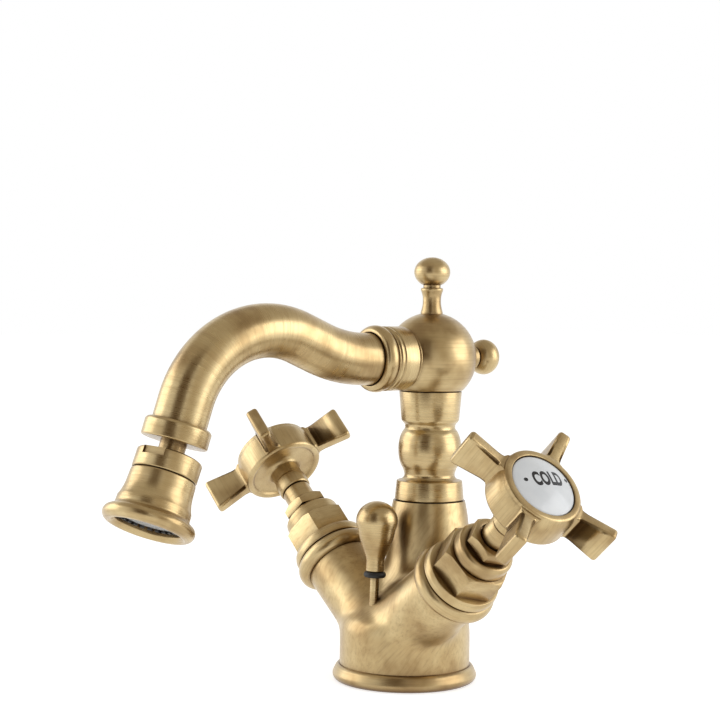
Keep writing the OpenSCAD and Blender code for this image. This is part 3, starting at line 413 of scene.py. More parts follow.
# ---- Column -------------------------------------------------------------
# The turned brass column that swivels on the neck: a ring at its foot, a pear-shaped bead between
# two coves and a plain flared top. A grub screw in the neck keeps it down, and two O-rings seal it.
COLUMN_H = 39.1
COLUMN_TOP_R = 11.2
BEAD_R = 11.3
COVE_R = 9.0
COLUMN_RING_H = 7.6
BEAD_LOW = 10.4
BEAD_H = 15.5
bead_top = BEAD_LOW + BEAD_H
on_column = Matrix.Translation((0, COLUMN_Y * MM, NECK_Z * MM))
column_outline = ([(0, 0.12, 0), (NECK_R - 0.35, 0.12, 0.1), (NECK_R + 0.05, 0.5, 0.15),
                   (COLUMN_TOP_R + 0.55, COLUMN_RING_H - 0.5, 0.3), (COVE_R + 0.9, COLUMN_RING_H, 0.3),
                   (COVE_R + 0.1, COLUMN_RING_H + 0.9, 0.4), (COVE_R, COLUMN_RING_H + 1.9, 0.4)]
                  + arc((COVE_R - 1, BEAD_LOW + BEAD_H / 2), (BEAD_R - COVE_R + 1, BEAD_H / 2), -60, 60, 24)
                  + [(COVE_R, bead_top - 0.3, 0.3), (COVE_R, bead_top + 1.2, 0.5),
                     (COLUMN_TOP_R - 0.9, bead_top + 2.6, 0.5), (COLUMN_TOP_R, COLUMN_H - 0.15, 0.2),
                     (0, COLUMN_H - 0.15, 0)])
column_brass = turned_brass("brass_column", on_column, 0.27)
piece("turned_column", turned(column_outline, on_column), column_brass, "spout", ["column"])

# ---- Hub ----------------------------------------------------------------
# The ball-shaped elbow on the column: a hollow brass ball faced flat below, with a collar that
# takes the union nut and two flats for the finials. It screws down on the column's top thread.
HUB_R = 16.2
HUB_DROP = math.sqrt(HUB_R ** 2 - COLUMN_TOP_R ** 2)     # from its middle to its faced seat
HUB_Z = NECK_Z + COLUMN_H + HUB_DROP
COLLAR_R = 10.4
COLLAR_START = 6         # inside the ball
COLLAR_REACH = 13.5
at_hub = Matrix.Translation((0, COLUMN_Y * MM, HUB_Z * MM))
to_spout = at_hub @ Matrix.Rotation(math.pi / 2, 4, "X")
low_angle = -math.degrees(math.acos(COLUMN_TOP_R / HUB_R))
hub_outline = ([(0, -HUB_DROP + 0.05, 0), (COLUMN_TOP_R - 0.3, -HUB_DROP + 0.05, 0)]
               + arc((0, 0), (HUB_R, HUB_R), low_angle + 1, 90, 60))
collar_outline = [(0, COLLAR_START, 0), (COLLAR_R - 0.9, COLLAR_START, 0), (COLLAR_R - 0.9, 10.2, 0.2),
                  (COLLAR_R, 10.9, 0.35), (COLLAR_R, COLLAR_REACH - 0.6, 0.3),
                  (COLLAR_R - 0.7, COLLAR_REACH - 0.05, 0.1), (0, COLLAR_REACH - 0.05, 0)]
hub_brass = turned_brass("brass_hub", at_hub, 0.31)
collar_brass = turned_brass("brass_hub_collar", to_spout, 0.3)
piece("ball_hub", turned(hub_outline, at_hub), hub_brass, "spout", ["hub"])
piece("hub_collar", turned(collar_outline, to_spout), collar_brass, "spout", ())

# ---- Finials ------------------------------------------------------------
# Two small ball finials: one on a waisted stem on top of the hub, one on a short collar behind it.
# They are turned brass plugs that close the hub's drillings, with a narrow neck under each ball.
FINIAL_R = 6.4
FINIAL_UP = FINIAL_R * 0.83          # half a ball's height, as the balls are slightly flat
FOOT_R = 3.95
WAIST_R = 3.1
STEM = 9.2
SEAT = math.sqrt(HUB_R ** 2 - FOOT_R ** 2)
BACK_NECK = 4.6
up_top = at_hub @ Matrix.Translation((0, 0, SEAT * MM))
out_back = at_hub @ Matrix.Rotation(-math.pi / 2, 4, "X") @ Matrix.Translation((0, 0, SEAT * MM))
stem_outline = [(0, -1, 0), (FOOT_R, -1, 0), (FOOT_R, 0.5, 0.2), (WAIST_R + 0.35, 2.2, 0.9),
                (WAIST_R, 4.6, 1.4), (WAIST_R + 0.3, 6.9, 0.9), (FOOT_R, STEM - 0.9, 0.25),
                (FOOT_R, STEM - 0.25, 0.15), (FOOT_R - 0.3, STEM, 0.1), (WAIST_R, STEM, 0.1),
                (WAIST_R, STEM + 1.3, 0.1), (0, STEM + 1.3, 0)]
ball_outline = arc((0, STEM + 0.3 + FINIAL_UP), (FINIAL_R, FINIAL_UP), -90, 90, 40)
back_outline = ([(0, -1, 0), (FOOT_R - 0.1, -1, 0), (FOOT_R - 0.1, 0.15, 0), (FOOT_R + 0.3, 0.6, 0.2),
                 (FOOT_R + 0.3, BACK_NECK - 0.9, 0.2), (FOOT_R - 0.1, BACK_NECK - 0.4, 0.1),
                 (FOOT_R - 0.6, BACK_NECK + 0.3, 0.2)]
                + arc((0, BACK_NECK - 0.8 + FINIAL_UP), (FINIAL_R, FINIAL_UP), -54, 90, 32))
finial_brass = turned_brass("brass_finials", up_top, 0.33)
back_brass = turned_brass("brass_back_finial", out_back, 0.33)
piece("finial_stem", turned(stem_outline, up_top), finial_brass, "spout", ["top_finial_stem"])
piece("finial_ball", turned(ball_outline, up_top), finial_brass, "spout", ["top_finial_ball"])
piece("rear_finial", turned(back_outline, out_back), back_brass, "spout", ["back_finial"])

# ---- Union nut ----------------------------------------------------------
# The smooth round nut that draws the spout onto the hub: plain barrel, two fine turned lines and a
# rolled lip where the tube comes out. It turns on the tube's flange and is done up by hand.
NUT_R = 11.3
NUT_LEN = 14.5
NUT_BORE = 9.15          # its mouth, close round the tube
at_nut = to_spout @ Matrix.Translation((0, 0, COLLAR_REACH * MM))
nut_outline = ([(0, 0.1, 0), (NUT_R - 0.75, 0.1, 0.1), (NUT_R, 0.6, 0.3), (NUT_R, 6.6, 0.15),
                (NUT_R - 0.35, 6.9, 0.1), (NUT_R - 0.35, 7.2, 0.1), (NUT_R, 7.5, 0.15),
                (NUT_R + 0.05, 8.3, 0.1), (NUT_R - 0.45, 8.8, 0.15), (NUT_R - 0.35, 9.2, 0.1)]
               + arc((NUT_R - 1.75, 11.8), (2.15, 2.7), -62, 90, 16)
               + [(NUT_BORE + 0.25, NUT_LEN, 0.2), (NUT_BORE, NUT_LEN - 1.4, 0.2), (0, NUT_LEN - 1.4, 0)])
nut_brass = turned_brass("brass_union_nut", at_nut, 0.28)
piece("round_union_nut", turned(nut_outline, at_nut), nut_brass, "spout", ["union_nut"])

# ---- Spout tube ---------------------------------------------------------
# A drawn brass tube bent cold over a mandrel: it rises a little, crosses a crest and drops to the
# outlet. The brush marks run round the tube all along, so they follow its length in an attribute.
TUBE_R = 9.1
TUBE_SIDES = 96
RISE = (53.5, 22.5)      # radius of the rising bend and its angle
CREST = (33.5, 94.0)     # radius of the crest and its angle
STRAIGHT = 9.0           # between the two bends
DROP = 7.4               # from the crest to the outlet collar
IN_COLLAR = 2.5          # the tube's end, out of sight in that collar
START_Y = -16.0          # its other end, out of sight in the union nut
BEND_Y = -19.1           # where it starts to rise
tube = bmesh.new()
path = tube.verts.layers.float.new("along")
tube_start = Matrix.Translation((0, START_Y * MM, HUB_Z * MM)) @ Matrix.Rotation(math.pi / 2, 4, "X")
bmesh.ops.create_circle(tube, segments=TUBE_SIDES, radius=TUBE_R * MM, matrix=tube_start)
front = tube.edges[:]


def mark(front, travelled):
    """Writes on a ring of edges how far along the tube it lies, in metres."""
    for edge in front:
        for vert in edge.verts:
            vert[path] = travelled


def run_on(front, heading, length, travelled, count):
    """Extends the tube straight on by length in millimetres, heading degrees above level."""
    onward = Vector((0, -math.cos(math.radians(heading)), math.sin(math.radians(heading))))
    for i in range(count):
        grown = bmesh.ops.extrude_edge_only(tube, edges=front)["geom"]
        front = [e for e in grown if isinstance(e, bmesh.types.BMEdge) and len(e.link_faces) == 1]
        verts = list({v for e in front for v in e.verts})
        bmesh.ops.translate(tube, verts=verts, vec=onward * length * MM / count)
        travelled += length * MM / count
        mark(front, travelled)
    return front, travelled


def bend_on(front, centre, angle, radius, travelled, count):
    """Bends the tube on by angle degrees round centre, which is (y, z) in millimetres."""
    middle = (0, centre[0] * MM, centre[1] * MM)
    turn = math.radians(angle) / count
    for i in range(count):
        grown = bmesh.ops.spin(tube, geom=front, cent=middle, axis=(1, 0, 0), angle=turn, steps=1,
                               use_merge=False, use_duplicate=False)
        front = [e for e in grown["geom_last"] if isinstance(e, bmesh.types.BMEdge)]
        travelled += math.radians(abs(angle)) * radius * MM / count
        mark(front, travelled)
    return front, travelled


rise = math.radians(RISE[1])
rise_end = Vector((BEND_Y - RISE[0] * math.sin(rise), HUB_Z + RISE[0] * (1 - math.cos(rise))))
crest_from = rise_end + Vector((-math.cos(rise), math.sin(rise))) * STRAIGHT
crest_mid = crest_from - Vector((math.sin(rise), math.cos(rise))) * CREST[0]
mark(front, 0.0)
front, travelled = run_on(front, 0, START_Y - BEND_Y, 0.0, 2)
front, travelled = bend_on(front, (BEND_Y, HUB_Z + RISE[0]), -RISE[1], RISE[0], travelled, 12)
front, travelled = run_on(front, RISE[1], STRAIGHT, travelled, 6)
front, travelled = bend_on(front, crest_mid, CREST[1], CREST[0], travelled, 48)
front, travelled = run_on(front, RISE[1] - CREST[1], DROP + IN_COLLAR, travelled, 6)
bmesh.ops.holes_fill(tube, edges=[e for e in tube.edges if e.is_boundary], sides=0)
bmesh.ops.recalc_face_normals(tube, faces=tube.faces)


def tube_brass(name):
    """Brass brushed round a bent tube, by the along attribute."""
    made, tree, main = shader(name)
    spot = add(tree, "ShaderNodeTexCoord").outputs["Object"]
    axes = add(tree, "ShaderNodeSeparateXYZ", {0: spot}).outputs
    run = add(tree, "ShaderNodeAttribute", attribute_name="along").outputs["Fac"]
    rings = add(tree, "ShaderNodeCombineXYZ", {0: axes[0], 1: axes[2], 2: run}).outputs[0]
    fine = streaks(tree, rings, None, (DRAWN, DRAWN, STREAK), 4.0)
    broad = streaks(tree, rings, None, (DRAWN, DRAWN, STREAK / 5), 2.0)
    return finish_brass(made, tree, main, fine, broad, spot, 0.29, 0.3)


piece("bent_spout_tube", tube, tube_brass("brass_tube"), "spout", ["spout_tube"])

# ---- Outlet collar and ball stud ----------------------------------------
# A plain ring brazed on the tube's end takes the screwed stud, whose ball the jet turns on.
# Both are turned brass, and the ball is smooth where the seal wipes it.
END_COLLAR_R = 11.1
END_COLLAR_H = 6.4
BALL_DROP = 9.5
BALL_R = 7.5
BALL_NECK_R = 4.4
OUTLET_LEAN = 90 - (CREST[1] - RISE[1])
fall = math.radians(OUTLET_LEAN)
crest_end = crest_mid + Vector((-math.cos(fall), math.sin(fall))) * CREST[0]
ball_spot = crest_end + Vector((-math.sin(fall), -math.cos(fall))) * (DROP + END_COLLAR_H + BALL_DROP)


def at_ball(lean, sideways=0):
    """Stands local Z up an axis through the ball's centre that leans back, and sideways towards -X."""
    return (Matrix.Translation((0, ball_spot.x * MM, ball_spot.y * MM))
            @ Matrix.Rotation(math.radians(-lean), 4, "X") @ Matrix.Rotation(math.radians(-sideways), 4, "Y"))


up_outlet = at_ball(OUTLET_LEAN)
end_top = BALL_DROP + END_COLLAR_H
end_outline = [(0, BALL_DROP, 0), (END_COLLAR_R - 0.45, BALL_DROP, 0.15), (END_COLLAR_R, BALL_DROP + 0.4, 0.2),
               (END_COLLAR_R, end_top - 0.9, 0.3), (END_COLLAR_R - 0.8, end_top, 0.3),
               (TUBE_R + 0.35, end_top, 0.1), (TUBE_R + 0.1, end_top - 0.4, 0.1), (0, end_top - 0.4, 0)]
stud_outline = (arc((0, 0), (BALL_R, BALL_R), -90, 52, 40)
                + [(BALL_NECK_R, 6.3, 0.3), (BALL_NECK_R, BALL_DROP + 0.5, 0), (0, BALL_DROP + 0.5, 0)])
outlet_brass = turned_brass("brass_outlet", up_outlet, 0.29)
piece("end_collar", turned(end_outline, up_outlet), outlet_brass, "spout", ["outlet_collar"])
piece("ball_and_stud", turned(stud_outline, up_outlet), outlet_brass, "spout", ["ball_stud"])

# ---- Swivel nut and outlet bell -----------------------------------------
# The jet's head: a nut with two spanner flats closes over the ball and seal, and a flared bell
# screws up into it, ending in a fat bead round a wide mouth. Both are turned brass.
JET_LEAN = OUTLET_LEAN + 6
JET_SIDE = 6.5
JET_R = 10.9
JET_UP = 5.0
JET_SEAM = -1.9
BELL_H = 18.5
BELL_R = 15.4
MOUTH_R = 10.9
FLAT_DEPTH = 1.5
FLAT_W = 8.0
FLAT_LOW = 2.2
FLAT_TURN = -65
CUP_R = BALL_R + 0.9     # the nut's hollow over the ball
BELL_BORE = BALL_R + 1.2
up_jet = at_ball(JET_LEAN, JET_SIDE)
mouth_z = JET_SEAM - BELL_H
nut_ring = ([(CUP_R, JET_SEAM + 0.12, 0), (JET_R - 0.3, JET_SEAM + 0.12, 0.1), (JET_R, JET_SEAM + 0.45, 0.15),
             (JET_R, JET_UP - 0.5, 0.25), (JET_R - 0.5, JET_UP, 0.25), (BALL_NECK_R + 2.9, JET_UP, 0.3),
             (BALL_NECK_R + 2.3, JET_UP - 0.9, 0.2)]
            + arc((0, 0), (CUP_R, CUP_R), 29, 0, 8))


def boxed(low, high, place):
    """A box between two corners in millimetres."""
    bm = bmesh.new()
    size = [(b - a) * MM for a, b in zip(low, high)]
    middle = [(a + b) / 2 * MM for a, b in zip(low, high)]
    bmesh.ops.create_cube(bm, size=1, matrix=place @ Matrix.Translation(middle) @ Matrix.Diagonal((*size, 1)))
    return bm


def carved(bm, cutters):
    """bm with each cutter taken out of it. All are used up."""
    stock = object_of(bm, "stock")
    tools = [object_of(cutter, "cutter") for cutter in cutters]
    for tool in tools:
        cut = stock.modifiers.new("cut", "BOOLEAN")
        cut.operation = "DIFFERENCE"
        cut.object = tool
        cut.solver = "EXACT"
    result = applied(stock, *tools)
    bmesh.ops.remove_doubles(result, verts=result.verts, dist=ONE_POINT)
    bmesh.ops.dissolve_degenerate(result, edges=result.edges, dist=ONE_POINT)
    return result


# Each spanner flat is a notch milled across the edge: a box is taken out of the ring.
facing_flat = up_jet @ Matrix.Rotation(math.radians(FLAT_TURN), 4, "Z")
notches = [boxed((JET_R - FLAT_DEPTH, -FLAT_W / 2, FLAT_LOW), (JET_R + 2, FLAT_W / 2, JET_UP + 1),
                 facing_flat @ Matrix.Rotation(turn, 4, "Z")) for turn in (0, math.pi)]
swivel = carved(turned(nut_ring, up_jet, closed=True), notches)
jet_brass = turned_brass("brass_jet", up_jet, 0.3)
piece("jet_nut", swivel, jet_brass, "jet", ["swivel_nut"], crease=28)

MOUTH_BEAD = (2.7, 2.6)  # half-width and half-height of the bead round the mouth
WAIST_DOWN = 2.8         # from the bell's top to the start of its flare
waist = mouth_z + BELL_H - WAIST_DOWN
flare = (BELL_R - JET_R - 0.5, BELL_H - WAIST_DOWN - 2 * MOUTH_BEAD[1] - 1.0)
bell_outline = ([(BELL_BORE, mouth_z + 10, 0), (MOUTH_R, mouth_z + 6, 0), (MOUTH_R, mouth_z + 1.5, 0.3),
                 (MOUTH_R + 1.1, mouth_z + 0.25, 0.3)]
                + arc((BELL_R - MOUTH_BEAD[0], mouth_z + MOUTH_BEAD[1]), MOUTH_BEAD, -90, 46, 18)
                + [(BELL_R - 2.0, mouth_z + 5.2, 0.3), (BELL_R - 2.8, mouth_z + 5.8, 0.25),
                   (BELL_R - 2.95, mouth_z + 6.4, 0.2)]
                + arc((JET_R + 0.15 + flare[0], waist), flare, 228, 183, 18)
                + [(JET_R, JET_SEAM - 0.5, 0.2), (JET_R - 0.35, JET_SEAM - 0.12, 0.1),
                   (BELL_BORE, JET_SEAM - 0.12, 0)])
piece("flared_bell", turned(bell_outline, up_jet, closed=True), jet_brass, "jet",
      ["outlet_bell"])

# ---- Aerator ------------------------------------------------------------
# A moulded black insert pushed up the bell's mouth, with a castellated rim for its key, and a
# woven stainless screen across it that breaks up the stream.
INSERT_R = MOUTH_R - 0.05
INSERT_RIM = 1.6
INSERT_IN = INSERT_R - INSERT_RIM
TEETH = 24
TOOTH = 1.1              # the height of a tooth and the width of the gap beside it
insert_low = mouth_z + 2.4
insert_top = mouth_z + 10.0
insert_ring = [(INSERT_IN, insert_low, 0.15), (INSERT_R, insert_low, 0.15), (INSERT_R, insert_top, 0),
               (INSERT_IN, insert_top, 0)]
gaps = [boxed((INSERT_IN - 1, -TOOTH / 2, insert_low - 1), (INSERT_R + 1, TOOTH / 2, insert_low + TOOTH),
              up_jet @ Matrix.Rotation(math.tau * i / TEETH, 4, "Z")) for i in range(TEETH)]
insert = carved(turned(insert_ring, up_jet, closed=True), [join(*gaps)])
black_plastic = speckled("aerator_black", (0.03, 0.03, 0.032, 1), (0.05, 0.05, 0.052, 1), 0.38, 1800)
piece("castellated_insert", insert, black_plastic, "jet", ["aerator_insert"])


def woven_steel(name, place, pitch):
    """Fine woven wire: two crossed waves colour and lift the surface, pitch apart."""
    made, tree, main = shader(name)
    own = standing(tree, place)[1]
    weave = {"Vector": own, "Scale": math.tau / 20 / pitch, "Distortion": 0.0}     # scale 1 is tau / 20 apart
    waves = [add(tree, "ShaderNodeTexWave", weave, bands_direction=d).outputs[1] for d in ("X", "Y")]
    wires = add(tree, "ShaderNodeMath", {0: waves[0], 1: waves[1]}, operation="MAXIMUM").outputs[0]
    tone = blend_colours(tree, rescale(tree, wires, 0.45, 0.9), (0.3, 0.3, 0.3, 1), (0.9, 0.9, 0.88, 1))
    tree.links.new(tone, main.inputs["Base Color"])
    main.inputs["Metallic"].default_value = 0.1
    main.inputs["Roughness"].default_value = 0.42
    lift = add(tree, "ShaderNodeBump", {"Strength": 0.6, "Distance": 0.2 * MM, "Height": wires})
    tree.links.new(lift.outputs[0], main.inputs["Normal"])
    return made


SCREEN_R = INSERT_IN + 0.1
SCREEN_T = 0.5
SCREEN_PITCH = 0.55 * MM
screen_low = mouth_z + 3.2
screen_outline = [(0, screen_low, 0), (SCREEN_R, screen_low, 0), (SCREEN_R, screen_low + SCREEN_T, 0),
                  (0, screen_low + SCREEN_T, 0)]
piece("woven_screen", turned(screen_outline, up_jet), woven_steel("woven_screen", up_jet, SCREEN_PITCH), "jet",
      ["aerator_screen"])

# ---- Arm rings and bonnets ----------------------------------------------
# On each arm's end a rolled ring, then the valve's bonnet: a round flange, a hexagon with turned
# corners, a round barrel and, after a narrow gap, the gland nut. All are machined brass, screwed home.
# Heights that end in _S are measured along the valve's axis.
ARM_RING_R = 15.2
ARM_RING_BORE = 9.2
ARM_RING_LEN = 6.5
FLANGE_R = 13.9
FLANGE_S = 47.0
HEX_S = 51.0
ROUND_S = 60.5
BONNET_END = 66.0
BONNET_R = 10.3
BONNET_SPIGOT = 8.9      # the part of it inside the ring
BONNET_CORE = 9          # the same inside the hexagon
BONNET_MOUTH = 6.8       # the hollow round the gland nut's neck
HEX_AF = 22.0
HEX_TURN = 15
GLAND_AF = 15.4
GLAND_S = 67.2
GLAND_END = 71.0
SLEEVE_R = 5.4
SPINDLE_R = 3.3
HANDLE_S = 88.5
BOSS_H = 9.8


def edges_rounded(bm, edges, size, segments):
    """Rounds edges of bm off by size in millimetres."""
    bmesh.ops.bevel(bm, geom=edges, offset=size * MM, offset_type="OFFSET", segments=segments, profile=0.5,
                    affect="EDGES", material=-1, clamp_overlap=True)


def hexagonal(outline, across, place, turn, edge=0.25):
    """A turned solid cut to a hexagon across flats, its sharp edges broken by edge."""
    bm = turned(outline, Matrix.Rotation(-math.radians(turn), 4, "Z"))
    for i in range(6):
        side = Matrix.Rotation(math.radians(60 * i), 3, "Z") @ Vector((0, 1, 0))
        cut = bmesh.ops.bisect_plane(bm, geom=bm.verts[:] + bm.edges[:] + bm.faces[:], dist=ON_PLANE,
                                     plane_co=side * across / 2 * MM, plane_no=side, clear_outer=True)
        rim = [e for e in cut["geom_cut"] if isinstance(e, bmesh.types.BMEdge)]
        bmesh.ops.holes_fill(bm, edges=rim, sides=0)
    bmesh.ops.remove_doubles(bm, verts=bm.verts, dist=0.004 * MM)
    bmesh.ops.recalc_face_normals(bm, faces=bm.faces)
    sharp = [e for e in bm.edges if len(e.link_faces) == 2 and e.calc_face_angle() > math.radians(25)]
    edges_rounded(bm, sharp, edge, 2)
    bm.transform(place @ Matrix.Rotation(math.radians(turn), 4, "Z"))
    return bm


hex_round = HEX_AF / 2 / math.cos(math.radians(30))
gland_round = GLAND_AF / 2 / math.cos(math.radians(30))
arm_ring_outline = ([(ARM_RING_BORE, ARM_LEN + 0.12, 0), (ARM_R - 0.2, ARM_LEN + 0.12, 0.1)]
                    + arc((ARM_R, ARM_LEN + ARM_RING_LEN / 2), (ARM_RING_R - ARM_R, ARM_RING_LEN / 2 - 0.1),
                          -85, 80, 20)
                    + [(ARM_R - 0.3, ARM_LEN + ARM_RING_LEN - 0.1, 0.1),
                       (ARM_RING_BORE, ARM_LEN + ARM_RING_LEN - 0.1, 0)])
bonnet_outline = [(0, FLANGE_S - 3, 0), (BONNET_SPIGOT, FLANGE_S - 3, 0), (BONNET_SPIGOT, FLANGE_S + 0.1, 0),
                  (FLANGE_R - 0.35, FLANGE_S + 0.1, 0.1), (FLANGE_R, FLANGE_S + 0.5, 0.15),
                  (FLANGE_R, HEX_S - 1.6, 0.35), (FLANGE_R - 0.6, HEX_S - 0.1, 0.2),
                  (BONNET_CORE, HEX_S - 0.1, 0), (BONNET_CORE, ROUND_S + 0.1, 0),
                  (BONNET_R - 0.3, ROUND_S + 0.1, 0.1), (BONNET_R, ROUND_S + 0.5, 0.2),
                  (BONNET_R, BONNET_END - 1.0, 0.45), (BONNET_R - 1.0, BONNET_END, 0.3),
                  (BONNET_MOUTH, BONNET_END, 0.1), (BONNET_MOUTH, BONNET_END - 0.8, 0),
                  (0, BONNET_END - 0.8, 0)]
hex_outline = [(0, HEX_S - 0.1, 0), (hex_round + 0.4, HEX_S - 0.1, 0), (hex_round + 0.4, ROUND_S - 1.3, 0),
               (hex_round - 1.2, ROUND_S, 0), (0, ROUND_S, 0)]
gland_bore = SLEEVE_R + 0.45
gland_outline = [(0, GLAND_S, 0), (gland_round + 0.3, GLAND_S, 0), (gland_round + 0.3, GLAND_END - 1.3, 0),
                 (gland_round - 1.1, GLAND_END, 0), (gland_bore, GLAND_END, 0),
                 (gland_bore, GLAND_END - 1.8, 0), (0, GLAND_END - 1.8, 0)]
gland_neck_r = GLAND_AF / 2 - 0.8
gland_neck = [(0, BONNET_END - 1, 0), (gland_neck_r, BONNET_END - 1, 0), (gland_neck_r, GLAND_S + 0.3, 0),
              (0, GLAND_S + 0.3, 0)]
boss_s = HANDLE_S - BOSS_H
sleeve_outline = [(0, GLAND_END - 2, 0), (SLEEVE_R, GLAND_END - 2, 0), (SLEEVE_R, boss_s - 0.5, 0.2),
                  (SLEEVE_R - 0.4, boss_s - 0.2, 0.1), (SPINDLE_R, boss_s - 0.2, 0),
                  (SPINDLE_R, boss_s + 0.5, 0), (0, boss_s + 0.5, 0)]
for side, sign in SIDES.items():
    on_valve = along_valve(sign)
    valve_brass = turned_brass("brass_valve_" + side, on_valve, 0.31)
    piece(side + "_rolled_ring", turned(arm_ring_outline, on_valve, closed=True), valve_brass, "root",
          [side + "_arm_ring"])
    bonnet = join(turned(bonnet_outline, on_valve), hexagonal(hex_outline, HEX_AF, on_valve, HEX_TURN))
    piece(side + "_valve_bonnet", bonnet, valve_brass, "root", [side + "_bonnet"], crease=26)
    gland = join(hexagonal(gland_outline, GLAND_AF, on_valve, HEX_TURN), turned(gland_neck, on_valve))
    piece(side + "_packing_nut", gland, valve_brass, "root", [side + "_gland_nut"], crease=26)
    piece(side + "_sleeve", turned(sleeve_outline, on_valve), valve_brass, side + "_valve",
          [side + "_spindle"])

# ---- Handles ------------------------------------------------------------
# Each handle is one brass casting: a boss on the spindle, a round drum with a dished back and four
# flat paddles that widen outwards and run into the drum with small fillets. A screw holds it down.
DRUM_R = 15.2
DRUM_H = 12.5
BOSS_R = 6.0
FIN_R = 28.8
FIN_ROOT_W = 10.0
FIN_TIP_W = 14.0
FIN_T = 4.8
FIN_TURN = 42
FINS = 4
BUTTON_R = 11.7
RECESS = 2.8             # how deep the drum's front is sunk for the button
DISH = 1.3               # how deep its back is
drum_outline = ([(0, -BOSS_H, 0), (3.2, -BOSS_H, 0), (BOSS_R - 0.4, -BOSS_H, 0.2),
                 (BOSS_R, -BOSS_H + 0.5, 0.2), (BOSS_R, -4.9, 0.2), (BOSS_R - 0.5, -4.2, 0.2),
                 (BOSS_R - 0.35, 0.2, 0.6), (BOSS_R + 1.0, DISH, 0.8), (DRUM_R - 3.0, DISH, 0.5)]
                + arc((DRUM_R - 1.4, 1.5), (1.4, 1.45), -150, 0, 14)
                + arc((DRUM_R - 1.6, DRUM_H / 2), (1.6, DRUM_H / 2 - 0.9), 6, 62, 10)
                + arc((DRUM_R - 2.0, DRUM_H - 1.0), (1.1, 0.95), 12, 90, 8)
                + [(BUTTON_R + 0.15, DRUM_H, 0.25), (BUTTON_R + 0.1, DRUM_H - RECESS, 0),
                   (0, DRUM_H - RECESS, 0)])


def at_handle(sign):
    """Stands local Z out along a valve's axis, with its origin at the back of the handle's drum."""
    return along_valve(sign) @ Matrix.Translation((0, 0, HANDLE_S * MM))


def fin(turn):
    """One paddle, drawn out from the drum section by section: how far out, how thick and how wide each is."""
    bm = bmesh.new()
    sections = [(DRUM_R - 2.2, FIN_T + 3.6, FIN_ROOT_W + 0.6), (DRUM_R - 0.6, FIN_T + 2.0, FIN_ROOT_W + 0.4),
                (DRUM_R + 0.2, FIN_T + 1.1, FIN_ROOT_W + 0.2), (DRUM_R + 1.2, FIN_T + 0.5, FIN_ROOT_W + 0.3),
                (DRUM_R + 2.6, FIN_T + 0.15, FIN_ROOT_W + 0.6), (FIN_R, FIN_T * 0.92, FIN_TIP_W)]
    bmesh.ops.create_grid(bm, x_segments=1, y_segments=1, size=0.5 * MM)
    bm.transform(Matrix.Rotation(math.pi / 2, 4, "Y"))
    bmesh.ops.scale(bm, vec=(1, sections[0][1], sections[0][2]), verts=bm.verts)
    bmesh.ops.translate(bm, vec=(sections[0][0] * MM, 0, 0), verts=bm.verts)
    face = bm.faces[:][0]
    for before, after in zip(sections, sections[1:]):
        grown = bmesh.ops.extrude_face_region(bm, geom=[face])["geom"]
        face = next(f for f in grown if isinstance(f, bmesh.types.BMFace))
        bmesh.ops.scale(bm, vec=(1, after[1] / before[1], after[2] / before[2]), verts=face.verts)
        bmesh.ops.translate(bm, vec=((after[0] - before[0]) * MM, 0, 0), verts=face.verts)
    bmesh.ops.recalc_face_normals(bm, faces=bm.faces)
    tip = [e for e in bm.edges if all(abs(v.co.x - FIN_R * MM) < 1e-6 for v in e.verts)]
    corners = [e for e in tip if abs(e.verts[0].co.z - e.verts[1].co.z) < 1e-6]
    edges_rounded(bm, corners, 1.5, 5)
    bmesh.ops.recalc_face_normals(bm, faces=bm.faces)
    sharp = [e for e in bm.edges if len(e.link_faces) == 2 and e.calc_face_angle() > math.radians(40)
             and min(v.co.x for v in e.verts) > (DRUM_R - 0.2) * MM]
    edges_rounded(bm, sharp, 1.7, 4)
    bm.transform(Matrix.Rotation(math.radians(turn), 4, "Z") @ Matrix.Translation((0, 0, DRUM_H / 2 * MM)))
    return bm


def handle_brass(name, place):
    """Brass brushed by hand over a cast handle, along the valve's axis."""
    made, tree, main = shader(name)
    spot, own = standing(tree, place)
    fine = streaks(tree, own, None, (STREAK, STREAK, DRAWN), 4.0)
    broad = streaks(tree, own, None, (220, 220, 60), 2.0)
    return finish_brass(made, tree, main, fine, broad, spot, 0.34, 0.4)


for side, sign in SIDES.items():
    on_handle = at_handle(sign)
    cast = join(turned(drum_outline), *[fin(sign * FIN_TURN + i * 360 / FINS) for i in range(FINS)])
    cast.transform(on_handle)
    piece(side + "_cross_handle", cast, handle_brass("brass_handle_" + side, on_handle), side + "_valve",
          [side + "_handle"], crease=30)

# ---- Index buttons ------------------------------------------------------
# White glazed porcelain buttons, slightly domed, pressed in the drum's front over the screw.
# Each carries its word and two dots in fired black enamel.
BUTTON_DOME = 2.2
WHITE_GLAZE = (0.84, 0.855, 0.86, 1)
GREY_GLAZE = (0.79, 0.81, 0.82, 1)
button_low = DRUM_H - RECESS
button_edge = button_low + 2.3


def porcelain_glaze(name):
    """White glazed porcelain, barely uneven under a clear glaze."""
    made, tree, main = shader(name)
    spot = add(tree, "ShaderNodeTexCoord").outputs["Object"]
    cloud = add(tree, "ShaderNodeTexNoise", {"Vector": spot, "Scale": 180.0, "Detail": 3.0})
    tone = blend_colours(tree, rescale(tree, cloud.outputs[0], 0.35, 0.65), WHITE_GLAZE, GREY_GLAZE)
    tree.links.new(tone, main.inputs["Base Color"])
    main.inputs["Roughness"].default_value = 0.28
    main.inputs["Coat Weight"].default_value = 0.35
    main.inputs["Coat Roughness"].default_value = 0.04
    lift = add(tree, "ShaderNodeBump", {"Strength": 0.05, "Distance": 0.1 * MM, "Height": cloud.outputs[0]})
    tree.links.new(lift.outputs[0], main.inputs["Normal"])
    return made


